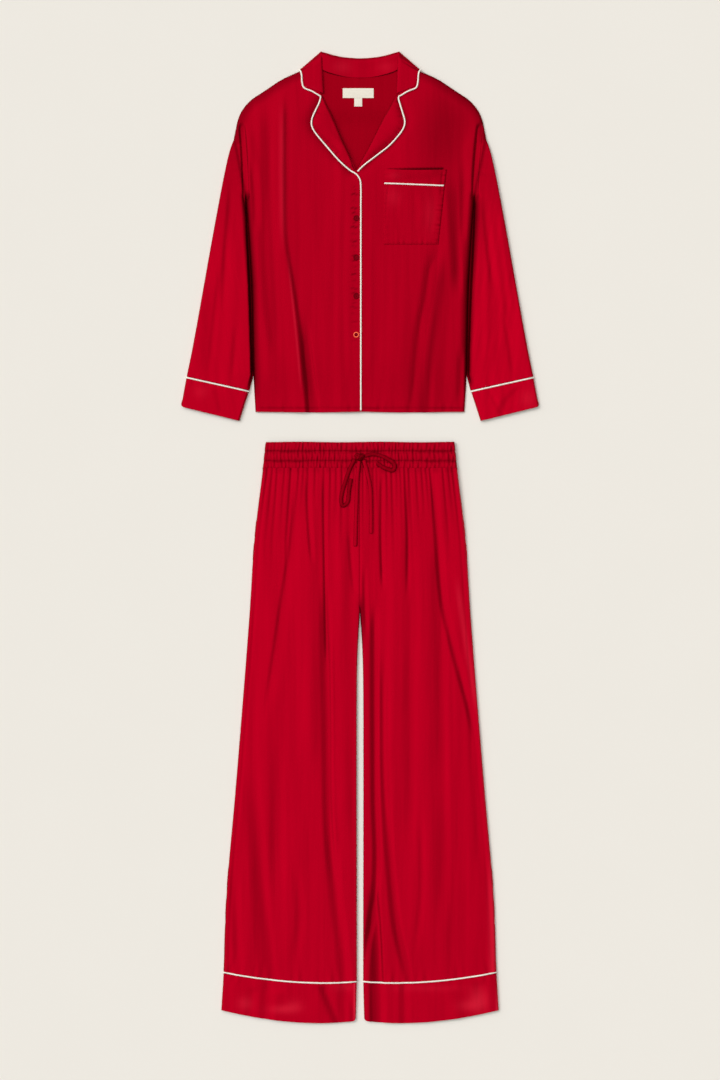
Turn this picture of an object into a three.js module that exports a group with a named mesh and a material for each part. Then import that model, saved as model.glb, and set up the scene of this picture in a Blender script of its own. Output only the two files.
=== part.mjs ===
// A pyjama set laid flat, face up: a shirt with a notched collar, and wide trousers with a tied waist.
// Sizes are in millimetres. X runs across the set, Y from the trouser hems up to the collar, Z up.
// Left and right in names are the wearer's, so the wearer's right side has negative X.

import * as THREE from 'three';

// Cloth, seams and trim
const CLOTH = 1.6; // wall of every panel
const SEAM = 0.3; // gap between pieces that are sewn together
const PUFF = 2.4; // how far a front stands off the back away from its edges
const EDGE_ROLL = 14; // width over which a front comes down to the back at a closed edge
const PIPING = 3.4; // width of the round piping
const FLAT_PIPING = 2.2; // height of the piping where it doubles back on itself round a cuff or hem
const COLLAR_LIFT = 4.3; // how far the turned-down collar lifts the back panel off the surface

// Shirt
const SHIRT_HEM_Y = 226;
const UNDERARM = { x: 206, y: 612 };
const SHOULDER_POINT = { x: 227, y: 718 };
const NECK_POINT = { x: 77, y: 855 };
const PLACKET_HALF = 27; // how far the left front runs on under the right one
const SLEEVE_HEIGHT = 4.8; // height of a sleeve at its folded edges
const BUTTON_X = -6.8;
const BUTTON_YS = [573.7, 503.1, 434.0, 364.1];
const BUTTON_RADIUS = 5.25;

// Trousers
const WAIST_TOP = { half: 169.6, y: 171.7 };
const WAIST_BOTTOM = { half: 175, y: 121.6 };
const CROTCH_Y = -132;
const PUCKERS = 40; // ruched puckers across the front of the waistband
const GATHERS = 11; // gathers across each front below the waistband

const CLOTH_COLOUR = 0xb0001e;
const PIPING_COLOUR = 0xf8f2e6;
const LABEL_COLOUR = 0xf2ecdd;
const BUTTON_COLOUR = 0xa8081c;

const object = new THREE.Group();
object.name = 'pyjama_set';

// Small sums

const mix = (a, b, t) => a + (b - a) * t;
const clamp01 = (t) => Math.min(1, Math.max(0, t));
const smooth = (t) => clamp01(t) ** 2 * (3 - 2 * clamp01(t));
const ramp = (from, to, value) => smooth((value - from) / (to - from));

// How far a point is from a line between two others
function distanceToLine(x, y, x0, y0, x1, y1) {
  const dx = x1 - x0;
  const dy = y1 - y0;
  const t = clamp01(((x - x0) * dx + (y - y0) * dy) / (dx * dx + dy * dy));
  return Math.hypot(x - x0 - t * dx, y - y0 - t * dy);
}

function distanceToOutline(outline, x, y) {
  let least = Infinity;
  for (let k = 1; k < outline.length; k += 1) {
    const a = outline[k - 1];
    const b = outline[k];
    least = Math.min(least, distanceToLine(x, y, a.x, a.y, b.x, b.y));
  }
  return least;
}

// Height of the folds over a point: each is a soft ridge, or a trough where rise is negative
function foldHeight(folds, x, y) {
  let height = 0;
  for (const fold of folds) {
    const away = distanceToLine(x, y, fold.x0, fold.y0, fold.x1, fold.y1) / fold.half;
    if (away < 1) height += fold.rise * 0.5 * (1 + Math.cos(Math.PI * away));
  }
  return height;
}

// Quarter-round rise from a closed edge
function rollUp(distance, width = EDGE_ROLL) {
  const rest = 1 - clamp01(distance / width);
  return Math.sqrt(1 - rest * rest);
}

const mirrored = (points) => points.map((p) => ({ ...p, x: -p.x }));
const reversed = (points) => [...points].reverse();

// A smooth line through points, as a function of the share of its length
function lineThrough(points) {
  const curve = new THREE.CatmullRomCurve3(
    points.map((p) => new THREE.Vector3(p.x, p.y, 0)), false, 'centripetal');
  curve.arcLengthDivisions = 400;
  return (t) => curve.getPointAt(clamp01(t));
}

// A straight-sided line through points, with a corner at each
function polyline(points) {
  const path = new THREE.CurvePath();
  for (let k = 1; k < points.length; k += 1) {
    const a = points[k - 1];
    const b = points[k];
    path.add(new THREE.LineCurve3(new THREE.Vector3(a.x, a.y, 0), new THREE.Vector3(b.x, b.y, 0)));
  }
  return (t) => path.getPointAt(clamp01(t));
}

// Closed bodies

function addBody(name, positions, faces, colour, roughness) {
  const geometry = new THREE.BufferGeometry();
  let volume = 0;
  const corner = (k) => new THREE.Vector3().fromArray(positions, 3 * k);
  for (const [a, b, c] of faces) volume += corner(a).dot(corner(b).cross(corner(c)));
  const index = faces.flatMap(([a, b, c]) => (volume > 0 ? [a, b, c] : [a, c, b]));
  geometry.setAttribute('position', new THREE.Float32BufferAttribute(positions, 3));
  geometry.setIndex(index);
  addMesh(name, geometry, colour, roughness);
}

function addMesh(name, geometry, colour = CLOTH_COLOUR, roughness = 0.4) {
  const material = new THREE.MeshStandardMaterial({ color: colour, roughness, metalness: 0 });
  const mesh = new THREE.Mesh(geometry, material);
  mesh.name = name;
  object.add(mesh);
  return mesh;
}

// The wall between an upper and a lower sheet of points, both in rows of equal length
function addWall(name, upper, lower, colour, roughness) {
  const rows = upper.length;
  const columns = upper[0].length;
  const positions = [];
  for (const p of [upper, lower].flat(2)) positions.push(p.x, p.y, p.z);
  const at = (sheet, r, c) => (sheet * rows + r) * columns + c;
  const faces = [];
  const quad = (a, b, c, d) => faces.push([a, b, c], [a, c, d]);
  for (let r = 1; r < rows; r += 1) {
    for (let c = 1; c < columns; c += 1) {
      quad(at(0, r - 1, c - 1), at(0, r - 1, c), at(0, r, c), at(0, r, c - 1));
      quad(at(1, r - 1, c - 1), at(1, r, c - 1), at(1, r, c), at(1, r - 1, c));
    }
    quad(at(0, r - 1, 0), at(0, r, 0), at(1, r, 0), at(1, r - 1, 0));
    const end = columns - 1;
    quad(at(0, r, end), at(0, r - 1, end), at(1, r - 1, end), at(1, r, end));
  }
  for (let c = 1; c < columns; c += 1) {
    quad(at(0, 0, c), at(0, 0, c - 1), at(1, 0, c - 1), at(1, 0, c));
    quad(at(0, rows - 1, c - 1), at(0, rows - 1, c), at(1, rows - 1, c), at(1, rows - 1, c - 1));
  }
  addBody(name, positions, faces, colour, roughness);
}

// A panel: the grid between four border lines, with its underside at height(x, y, u, v)
function addPanel(name, border, us, vs, height, thickness = CLOTH, colour, roughness) {
  const corners = [border.low(0), border.low(1), border.high(0), border.high(1)];
  const lower = [];
  const upper = [];
  for (const v of vs) {
    const left = border.left(v);
    const right = border.right(v);
    const row = us.map((u) => {
      const low = border.low(u);
      const high = border.high(u);
      const place = (axis) => mix(low[axis], high[axis], v) + mix(left[axis], right[axis], u)
        - mix(mix(corners[0][axis], corners[1][axis], u), mix(corners[2][axis], corners[3][axis], u), v);
      const x = place('x');
      const y = place('y');
      return new THREE.Vector3(x, y, height(x, y, u, v));
    });
    lower.push(row);
    upper.push(row.map((p) => new THREE.Vector3(p.x, p.y, p.z + thickness)));
  }
  addWall(name, upper, lower, colour, roughness);
}

// Equal steps from 0 to 1
const steps = (count) => Array.from({ length: count + 1 }, (_, k) => k / count);

// Steps from 0 to 1 that fall on the corners of the given lines, with wide gaps filled evenly
function cornerSteps(lines, widest, { least = 0.018, extra = [] } = {}) {
  const shares = [...extra];
  for (const line of lines) {
    const lengths = line.slice(1).map((p, k) => Math.hypot(p.x - line[k].x, p.y - line[k].y));
    const whole = lengths.reduce((sum, length) => sum + length, 0);
    let run = 0;
    for (const length of lengths) {
      run += length;
      shares.push(run / whole);
    }
  }
  const kept = [0];
  for (const share of shares.sort((a, b) => a - b)) {
    const near = share - kept[kept.length - 1] < (extra.includes(share) ? 0.008 : least);
    if (!near && share < 0.999 && (share < 1 - least || extra.includes(share))) kept.push(share);
  }
  kept.push(1);
  return kept.flatMap((share, k) => {
    if (k === 0) return [share];
    const parts = Math.ceil((share - kept[k - 1]) / widest);
    return Array.from({ length: parts }, (_, n) => mix(kept[k - 1], share, (n + 1) / parts));
  });
}

// A tube of cloth lying flat: each ring stands on the line from an inner point to an outer one.
// Its underside is flat, and height(x, y) gives its upper side.
const RING_TOP = [0.035, 0.1, 0.2, 0.31, 0.42, 0.54, 0.66, 0.78, 0.89, 0.965];
const RING_UNDER = [0.965, 0.79, 0.6, 0.4, 0.21, 0.035];

function flatRing(inner, outer, height) {
  const width = Math.hypot(outer.x - inner.x, outer.y - inner.y);
  const place = (share, z) => {
    const s = share / width;
    return { x: mix(inner.x, outer.x, s), y: mix(inner.y, outer.y, s), z, s: share };
  };
  const topAt = (s) => height(mix(inner.x, outer.x, s / width), mix(inner.y, outer.y, s / width), s, width);
  const outside = [place(0, SLEEVE_HEIGHT / 2)];
  const inside = [place(CLOTH, SLEEVE_HEIGHT / 2)];
  for (const share of RING_TOP) {
    const top = topAt(share * width);
    outside.push(place(share * width, top));
    inside.push(place(share * width, top - CLOTH));
  }
  outside.push(place(width, SLEEVE_HEIGHT / 2));
  inside.push(place(width - CLOTH, SLEEVE_HEIGHT / 2));
  for (const share of RING_UNDER) {
    outside.push(place(share * width, 0));
    inside.push(place(share * width, CLOTH));
  }
  return { outside, inside };
}

function addTube(name, rings, colour, roughness) {
  const count = rings[0].outside.length;
  const innerCount = rings[0].inside.length;
  const positions = [];
  for (const ring of rings) for (const p of ring.outside) positions.push(p.x, p.y, p.z);
  for (const ring of rings) for (const p of ring.inside) positions.push(p.x, p.y, p.z);
  const outerAt = (r, k) => r * count + (k % count);
  const innerAt = (r, k) => rings.length * count + r * innerCount + (k % innerCount);
  const faces = [];
  for (let r = 1; r < rings.length; r += 1) {
    for (let k = 0; k < count; k += 1) {
      faces.push([outerAt(r - 1, k), outerAt(r - 1, k + 1), outerAt(r, k + 1)]);
      faces.push([outerAt(r - 1, k), outerAt(r, k + 1), outerAt(r, k)]);
    }
    for (let k = 0; k < innerCount; k += 1) {
      faces.push([innerAt(r - 1, k + 1), innerAt(r - 1, k), innerAt(r, k + 1)]);
      faces.push([innerAt(r, k + 1), innerAt(r - 1, k), innerAt(r, k)]);
    }
  }
  for (const r of [0, rings.length - 1]) {
    if (count === innerCount) {
      for (let k = 0; k < count; k += 1) {
        const quad = [outerAt(r, k + 1), outerAt(r, k), innerAt(r, k), innerAt(r, k + 1)];
        if (r > 0) quad.reverse();
        faces.push([quad[0], quad[1], quad[2]], [quad[0], quad[2], quad[3]]);
      }
      continue;
    }
    const flat = (points) => points.map((p) => new THREE.Vector2(p.s, p.z));
    const outerAnti = !THREE.ShapeUtils.isClockWise(flat(rings[r].outside));
    const cap = THREE.ShapeUtils.triangulateShape(flat(rings[r].outside), [flat(rings[r].inside)]);
    const number = (k) => (k < count ? outerAt(r, k) : innerAt(r, k - count));
    for (const [a, b, c] of cap) {
      const turned = (r === 0) === outerAnti;
      faces.push(turned ? [number(a), number(c), number(b)] : [number(a), number(b), number(c)]);
    }
  }
  addBody(name, positions, faces, colour, roughness);
}

// Round cord along a line of points
function addCord(name, points, width, colour, { height = width, sides = 8, step = 12, roughness } = {}) {
  const curve = new THREE.CatmullRomCurve3(
    points.map((p) => new THREE.Vector3(p.x, p.y, p.z)), false, 'centripetal');
  const section = new THREE.Shape();
  for (let k = 0; k <= sides; k += 1) {
    const turn = (2 * Math.PI * (k + 0.5)) / sides;
    const x = (width / 2) * Math.cos(turn);
    const y = (height / 2) * Math.sin(turn);
    if (k === 0) section.moveTo(x, y);
    else if (k < sides) section.lineTo(x, y);
  }
  section.closePath();
  const count = Math.max(6, Math.round(curve.getLength() / step));
  const geometry = new THREE.ExtrudeGeometry(section, {
    steps: count, extrudePath: curve, bevelEnabled: false, curveSegments: 1 });
  addMesh(name, geometry, colour, roughness);
}

// Piping sewn between two flat tubes: one closed run over the top and back under them
function addRingPiping(name, inner, outer, height, colour = PIPING_COLOUR) {
  const sides = 6;
  const across = new THREE.Vector3(outer.x - inner.x, outer.y - inner.y, 0);
  const width = across.length();
  across.normalize();
  const along = new THREE.Vector3(-across.y, across.x, 0);
  const half = FLAT_PIPING / 2;
  const run = [];
  for (const share of RING_TOP) {
    const s = mix(2.6, width - 2.6, (share - 0.035) / 0.93);
    const x = inner.x + across.x * s;
    const y = inner.y + across.y * s;
    run.push([s, Math.max(height(x, y, s, width) - half + 0.4, 3 * half + 0.3)]);
  }
  run.push([width - half, 2 * half + 0.15]);
  for (const share of [0.985, 0.75, 0.5, 0.25, 0.015]) run.push([share * width, half]);
  run.push([half, 2 * half + 0.15]);
  const positions = [];
  const faces = [];
  run.forEach(([s, z], k) => {
    const before = run[(k + run.length - 1) % run.length];
    const after = run[(k + 1) % run.length];
    const tangent = new THREE.Vector2(after[0] - before[0], after[1] - before[1]).normalize();
    for (let side = 0; side < sides; side += 1) {
      const turn = (2 * Math.PI * side) / sides;
      const out = half * Math.sin(turn);
      const p = new THREE.Vector3(inner.x, inner.y, z + out * tangent.x)
        .addScaledVector(across, s - out * tangent.y)
        .addScaledVector(along, (PIPING / 2) * Math.cos(turn));
      positions.push(p.x, p.y, Math.max(p.z, 0));
      const next = (k + 1) % run.length;
      const at = (ring, n) => ring * sides + (n % sides);
      faces.push([at(k, side), at(k, side + 1), at(next, side + 1)]);
      faces.push([at(k, side), at(next, side + 1), at(next, side)]);
    }
  });
  addBody(name, positions, faces, colour, 0.5);
}

// Shirt outline: one side of the body, then the shoulder, as seen from above on the positive side

const BODY_SIDE = [
  { x: 188, y: 226 }, { x: 191.5, y: 291 }, { x: 195, y: 455 }, { x: UNDERARM.x, y: UNDERARM.y },
];
const SHOULDER = [
  SHOULDER_POINT, { x: 218.5, y: 755 }, { x: 211, y: 770 }, { x: 197, y: 786 }, { x: 172, y: 803 },
  { x: 140, y: 823.5 }, { x: 119, y: 832.5 }, { x: 107, y: 830 }, NECK_POINT,
];
const FLAT_EDGES = [BODY_SIDE, SHOULDER, mirrored(BODY_SIDE), mirrored(SHOULDER)];

// Folds of the shirt fronts: a line, half the width of the fold, and its rise
const SHIRT_FOLDS = [
  { x0: -150, y0: 700, x1: -140, y1: 330, half: 30, rise: 4.5 },
  { x0: -118, y0: 560, x1: -108, y1: 225, half: 20, rise: -2.0 },
  { x0: -88, y0: 430, x1: -76, y1: 225, half: 22, rise: 5.5 },
  { x0: -208, y0: 722, x1: -195, y1: 655, half: 16, rise: 5.0 },
  { x0: -188, y0: 735, x1: -172, y1: 640, half: 15, rise: -2.0 },
  { x0: -55, y0: 640, x1: -52, y1: 300, half: 20, rise: 2.0 },
  { x0: 112, y0: 455, x1: 121, y1: 225, half: 22, rise: 5.0 },
  { x0: 170, y0: 690, x1: 172, y1: 470, half: 18, rise: 4.0 },
  { x0: 68, y0: 480, x1: 60, y1: 225, half: 20, rise: 2.5 },
  { x0: 168, y0: 420, x1: 160, y1: 240, half: 20, rise: 3.5 },
  { x0: 205, y0: 720, x1: 196, y1: 640, half: 15, rise: 3.5 },
];

// The back is lifted where the collar is turned down under it
function collarLift(x, y) {
  return COLLAR_LIFT * ramp(735, 778, y) * ramp(178, 136, Math.abs(x));
}

// The fronts rise a little before the back does, so that their facets stay clear of it
function frontLift(x, y) {
  return (COLLAR_LIFT + 0.1) * ramp(718, 764, y) * ramp(198, 152, Math.abs(x));
}

// Underside of a front: off the back by a seam gap, then puffed and folded away from its closed edges
function frontUnderside(x, y) {
  const edge = Math.min(...FLAT_EDGES.map((outline) => distanceToOutline(outline, x, y)));
  const calm = ramp(205, 300, y) * 0.6 + 0.4;
  const nearNeck = 1 - 0.8 * ramp(760, 800, y);
  const body = PUFF * nearNeck * calm + Math.max(-2, foldHeight(SHIRT_FOLDS, x, y));
  return CLOTH + SEAM + frontLift(x, y) + rollUp(edge) * Math.max(0.2, body);
}

const frontTop = (x, y) => frontUnderside(x, y) + CLOTH;

// The right front lies on the left one beside the placket
function rightFrontUnderside(x, y) {
  return frontUnderside(x, y) + (CLOTH + SEAM) * ramp(-PLACKET_HALF - 22, -PLACKET_HALF - 6, x)
    * ramp(720, 690, y);
}

const rightFrontTop = (x, y) => rightFrontUnderside(x, y) + CLOTH;

// Shirt body

// Neck seam of the back, and the roll line, neck seam and opening edge of each front
const BACK_NECK = [
  NECK_POINT, { x: 66, y: 839 }, { x: 35, y: 829.5 }, { x: 0, y: 826 },
];
const RIGHT_OPENING = [
  { x: -0.2, y: SHIRT_HEM_Y }, { x: -0.2, y: 560 }, { x: -1.6, y: 636 }, { x: -8, y: 657 },
  { x: -35.3, y: 729.5 }, { x: -60.7, y: 786 }, { x: -71, y: 798 }, { x: -80, y: 830 },
  { x: -NECK_POINT.x, y: NECK_POINT.y },
];
const LEFT_OPENING = [
  { x: -PLACKET_HALF, y: SHIRT_HEM_Y + 1 }, { x: -PLACKET_HALF, y: 560 }, { x: -20, y: 632 },
  { x: 4, y: 668 }, { x: 32, y: 742 }, { x: 60.7, y: 788 }, { x: 71, y: 799 }, { x: 80, y: 830 }, NECK_POINT,
];

const sideAndArmhole = [...BODY_SIDE, SHOULDER_POINT];
const backTopEdge = [
  ...mirrored(SHOULDER), ...mirrored(BACK_NECK).slice(1),
  ...reversed(BACK_NECK).slice(1), ...reversed(SHOULDER).slice(1),
];

addPanel('shirt_back', {
  low: lineThrough([{ x: -188, y: SHIRT_HEM_Y }, { x: 0, y: SHIRT_HEM_Y + 1 }, { x: 188, y: SHIRT_HEM_Y }]),
  high: polyline(backTopEdge),
  left: polyline(mirrored(sideAndArmhole)),
  right: polyline(sideAndArmhole),
}, cornerSteps([backTopEdge], 0.07), cornerSteps([sideAndArmhole], 0.1), collarLift);

addPanel('shirt_front_right', {
  low: lineThrough([
    { x: -188, y: SHIRT_HEM_Y }, { x: -70, y: SHIRT_HEM_Y - 1 }, { x: -0.2, y: SHIRT_HEM_Y }]),
  high: polyline(mirrored(SHOULDER)),
  left: polyline(mirrored(sideAndArmhole)),
  right: polyline(RIGHT_OPENING),
}, cornerSteps([mirrored(SHOULDER)], 0.1, { extra: [0.02, 0.98] }),
cornerSteps([sideAndArmhole, RIGHT_OPENING], 0.075, { extra: [0.985] }), rightFrontUnderside);

addPanel('shirt_front_left', {
  low: lineThrough([{ x: -PLACKET_HALF, y: SHIRT_HEM_Y + 1 }, { x: 70, y: SHIRT_HEM_Y - 1 },
    { x: 188, y: SHIRT_HEM_Y }]),
  high: polyline(reversed(SHOULDER)),
  left: polyline(LEFT_OPENING),
  right: polyline(sideAndArmhole),
}, cornerSteps([reversed(SHOULDER)], 0.1, { extra: [0.02, 0.98] }),
cornerSteps([sideAndArmhole, LEFT_OPENING], 0.075, { extra: [0.985] }), frontUnderside);

// Lapels: rows from the foot of each up to its notch, with the roll line and the outer edge

const LAPEL_RIGHT = [
  { rollX: -13.5, rollY: 668, edgeX: -17, edgeY: 662 },
  { rollX: -21, rollY: 690, edgeX: -34, edgeY: 678 },
  { rollX: -36, rollY: 728, edgeX: -55.5, edgeY: 703 },
  { rollX: -47, rollY: 753, edgeX: -81, edgeY: 734.5 },
  { rollX: -54, rollY: 769, edgeX: -84, edgeY: 746 },
  { rollX: -60.5, rollY: 783, edgeX: -77.2, edgeY: 760 },
  { rollX: -66, rollY: 791, edgeX: -67.5, edgeY: 778.5 },
];
const LAPEL_LEFT = [
  { rollX: 8, rollY: 676, edgeX: 11, edgeY: 671.5 },
  { rollX: 17, rollY: 699, edgeX: 29.5, edgeY: 690 },
  { rollX: 31, rollY: 734, edgeX: 52, edgeY: 708.5 },
  { rollX: 41, rollY: 756, edgeX: 76, edgeY: 737 },
  { rollX: 50, rollY: 772, edgeX: 77.5, edgeY: 748 },
  { rollX: 57, rollY: 785, edgeX: 72, edgeY: 766 },
  { rollX: 63, rollY: 796, edgeX: 66, edgeY: 785 },
];

function addLapel(name, rows, top) {
  const lower = rows.map((row) => steps(4).map((u) => {
    const x = mix(row.rollX, row.edgeX, u);
    const y = mix(row.rollY, row.edgeY, u);
    return new THREE.Vector3(x, y, top(x, y) + SEAM + 0.5);
  }));
  const upper = lower.map((row) => row.map((p) => new THREE.Vector3(p.x, p.y, p.z + CLOTH)));
  addWall(name, upper, lower);
}

addLapel('lapel_right', LAPEL_RIGHT, rightFrontTop);
addLapel('lapel_left', LAPEL_LEFT, frontTop);

// Collar: one folded strip, with a row for each section from a wing's front to the centre back.
// Each runs from the neck seam over the fold to the outer edge. Turn is 0 on a front, 1 under the back.

const COLLAR = [
  { seamX: -69.6, seamY: 800, foldX: -65.5, foldY: 798, edgeX: -97.5, edgeY: 811, turn: 0 },
  { seamX: -74, seamY: 815, foldX: -66.5, foldY: 815, edgeX: -100.5, edgeY: 820, turn: 0 },
  { seamX: -77.8, seamY: 832, foldX: -67.4, foldY: 834, edgeX: -103, edgeY: 831, turn: 0 },
  { seamX: -75, seamY: 853, foldX: -68.6, foldY: 861.5, edgeX: -105, edgeY: 838.5, turn: 0 },
  { seamX: -72.5, seamY: 858.5, foldX: -70.9, foldY: 872.5, edgeX: -107.2, edgeY: 841.6, turn: 0.5 },
  { seamX: -68.5, seamY: 846, foldX: -66, foldY: 872.3, edgeX: -104.5, edgeY: 838, turn: 1 },
  { seamX: -65.5, seamY: 840, foldX: -47, foldY: 867, edgeX: -88, edgeY: 815, turn: 1 },
  { seamX: -34.8, seamY: 830.2, foldX: -27, foldY: 863.5, edgeX: -52, edgeY: 801, turn: 1 },
  { seamX: 0, seamY: 826.7, foldX: 0, foldY: 861.5, edgeX: 0, edgeY: 795, turn: 1 },
];

// The middle of the cloth and its outward side along one section
function collarSection(row) {
  const onFront = (x, y) => frontTop(x, y);
  const seam = new THREE.Vector3(row.seamX, row.seamY,
    mix(onFront(row.seamX, row.seamY) - CLOTH / 2, COLLAR_LIFT + CLOTH / 2, row.turn));
  const leafHeight = (x, y) => mix(onFront(x, y) + SEAM + 0.15 + CLOTH / 2, CLOTH / 2, row.turn);
  const edge = new THREE.Vector3(row.edgeX, row.edgeY, leafHeight(row.edgeX, row.edgeY));
  const standAtFold = mix(
    onFront(row.foldX, row.foldY) - CLOTH / 2, COLLAR_LIFT + CLOTH / 2 - 0.4, row.turn);
  const fallAtFold = leafHeight(row.foldX, row.foldY);
  const fold = new THREE.Vector3(row.foldX, row.foldY, (standAtFold + fallAtFold) / 2);
  const toSeam = new THREE.Vector3(seam.x - fold.x, seam.y - fold.y, 0).normalize();
  const toEdge = new THREE.Vector3(edge.x - fold.x, edge.y - fold.y, 0).normalize();
  const nearSeam = fold.clone().addScaledVector(toSeam, 2.2).setZ(standAtFold);
  const nearEdge = fold.clone().addScaledVector(toEdge, 2.2).setZ(fallAtFold);
  const half = edge.clone().lerp(nearEdge, 0.5);
  half.z = leafHeight(half.x, half.y);
  const angle = Math.PI * row.turn;
  const upwards = new THREE.Vector3(0, 0, Math.cos(angle));
  const outward = new THREE.Vector3(toEdge.y, -toEdge.x, 0).multiplyScalar(Math.sin(angle));
  const fallSide = upwards.clone().add(outward).normalize();
  const inward = new THREE.Vector3(-toSeam.y, toSeam.x, 0).multiplyScalar(Math.sin(angle));
  const standSide = upwards.clone().negate().add(inward).normalize();
  const foldSide = toSeam.clone().add(toEdge).normalize().negate();
  const middle = [seam, seam.clone().lerp(nearSeam, 0.5), nearSeam, fold, nearEdge, half, edge];
  const sides = [standSide, standSide, standSide, foldSide, fallSide, fallSide, fallSide];
  return { middle, sides };
}

const collarRows = [...COLLAR, ...reversed(COLLAR).slice(1)];
const collarUpper = [];
const collarLower = [];
collarRows.forEach((row, k) => {
  const { middle, sides } = collarSection(row);
  const flip = k >= COLLAR.length ? -1 : 1;
  const moved = (sign) => middle.map((p, n) => {
    const q = p.clone().addScaledVector(sides[n], (sign * CLOTH) / 2);
    return new THREE.Vector3(q.x * flip, q.y, q.z);
  });
  collarUpper.push(moved(1));
  collarLower.push(moved(-1));
});
addWall('collar', collarUpper, collarLower);

// Neck label and size tab, both blank, on the inside of the back

const backTop = (x, y) => collarLift(x, y) + CLOTH;

function addPatch(name, x0, x1, y0, y1, thickness, top, colour, { across = 2, along = 2, lift } = {}) {
  const lower = steps(along).map((v) => steps(across).map((u) => {
    const x = mix(x0, x1, u);
    const y = mix(y0, y1, v);
    return new THREE.Vector3(x, y, top(x, y) + SEAM + (lift ? lift(x, y) : 0));
  }));
  const upper = lower.map((row) => row.map((p) => new THREE.Vector3(p.x, p.y, p.z + thickness)));
  addWall(name, upper, lower, colour);
}

addPatch('neck_label', -31, 24.5, 790.2, 807.7, 1, backTop, LABEL_COLOUR);
addPatch('size_tab', -10.3, 3.8, 775, 789.4, 1, (x, y) => backTop(x, y) + 0.5, LABEL_COLOUR);

// Pocket on the left front, with a band above its piping that stands open a little

const POCKET = { left: 42.7, right: 149, low: 527, seam: 632, top: 661 };

function pocketBorder(y0, y1) {
  const rightAt = (y) => mix(141, 156, clamp01((y - POCKET.low) / (POCKET.top - POCKET.low)));
  const tilt = (x, y) => y + 4.3 * clamp01((150 - x) / 107) * ramp(POCKET.low, POCKET.seam, y)
    * ramp(POCKET.top + 12, POCKET.seam, y);
  const point = (x, y) => ({ x, y: tilt(x, y) });
  return {
    low: polyline([point(POCKET.left, y0), point(rightAt(y0), y0)]),
    high: polyline([point(POCKET.left, y1), point(rightAt(y1), y1)]),
    left: polyline([point(POCKET.left, y0), point(POCKET.left, y1)]),
    right: polyline([point(rightAt(y0), y0), point(rightAt(y1), y1)]),
  };
}

const pocketLift = (x, y) => Math.max(...[-12, 0, 12].map((dx) => frontTop(x + dx, y))) + SEAM + 0.3;
const bandOpen = (x, y) => 1.8 * ramp(640, 661, y) * ramp(44, 60, x) * ramp(152, 125, x);
const pocketTop = POCKET.seam - PIPING / 2 - 0.35;
const bandLow = POCKET.seam + PIPING / 2 + 0.35;
addPanel('pocket', pocketBorder(POCKET.low, pocketTop), steps(8), steps(5), pocketLift);
addPanel('pocket_band', pocketBorder(bandLow, POCKET.top), steps(8), steps(2),
  (x, y) => pocketLift(x, y) + bandOpen(x, y));

// Piping

const raised = (points, top, lift = PIPING / 2 + SEAM + 0.25) => points.map(
  (p) => ({ x: p.x, y: p.y, z: top(p.x, p.y) + lift }));

const frontRun = [];
for (let y = SHIRT_HEM_Y + 0.5; y < 620; y += 26) frontRun.push({ x: 1.95, y });
frontRun.push({ x: 1.7, y: 632 });
const rightRun = [
  ...frontRun.map((p) => ({ ...p, z: frontTop(p.x, p.y) + PIPING / 2 + SEAM + 0.25 })),
  ...raised([{ x: 0.6, y: 642 }], rightFrontTop, 1),
  ...raised([
    { x: -6, y: 652 }, { x: -18, y: 659 }, { x: -36.5, y: 675 }, { x: -57.5, y: 699 }, { x: -83.5, y: 731 },
    { x: -87.3, y: 742 }, { x: -85.4, y: 753 }, { x: -79.3, y: 765 }, { x: -71.6, y: 779 }], rightFrontTop),
];
addCord('piping_front', rightRun, PIPING, PIPING_COLOUR, { sides: 6, step: 11, roughness: 0.5 });
addCord('piping_lapel_left', raised([
  { x: 12.5, y: 668 }, { x: 31, y: 687 }, { x: 54, y: 705 }, { x: 78, y: 734 }, { x: 81, y: 746 },
  { x: 76.5, y: 763 }, { x: 69.5, y: 785 }], frontTop), PIPING, PIPING_COLOUR,
{ sides: 6, step: 9, roughness: 0.5 });

function collarPipingRun() {
  const half = COLLAR.map((row) => {
    const { middle } = collarSection(row);
    const edge = middle[6];
    const out = edge.clone().sub(middle[5]).setZ(0).normalize();
    const p = edge.clone().addScaledVector(out, PIPING / 2 + SEAM + 0.25);
    return { x: p.x, y: p.y, z: row.turn ? Math.max(p.z, PIPING / 2 + 0.3) : p.z + 0.85 };
  });
  const front = raised([{ x: -72.5, y: 793.3 }, { x: -86, y: 801.5 }], frontTop);
  half[0] = { ...half[0], x: -101, y: 808.5 };
  half[1] = { ...half[1], x: -104, y: 818 };
  half[5].z += 0.4;
  half[6].z += 0.3;
  const whole = [...front, ...half];
  return [...whole, ...mirrored(reversed(whole)).slice(1)];
}
addCord('piping_collar', collarPipingRun(), PIPING, PIPING_COLOUR, { sides: 6, step: 9, roughness: 0.5 });

const pocketSeam = steps(6).map((u) => {
  const x = mix(POCKET.left + 0.5, 151, u);
  return { x, y: POCKET.seam + 4.3 * clamp01((150 - x) / 107) };
});
addCord('piping_pocket', raised(pocketSeam, pocketLift, PIPING / 2 - 0.1), PIPING, PIPING_COLOUR,
  { sides: 6, step: 13, roughness: 0.5 });

// Buttons along the placket

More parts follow.
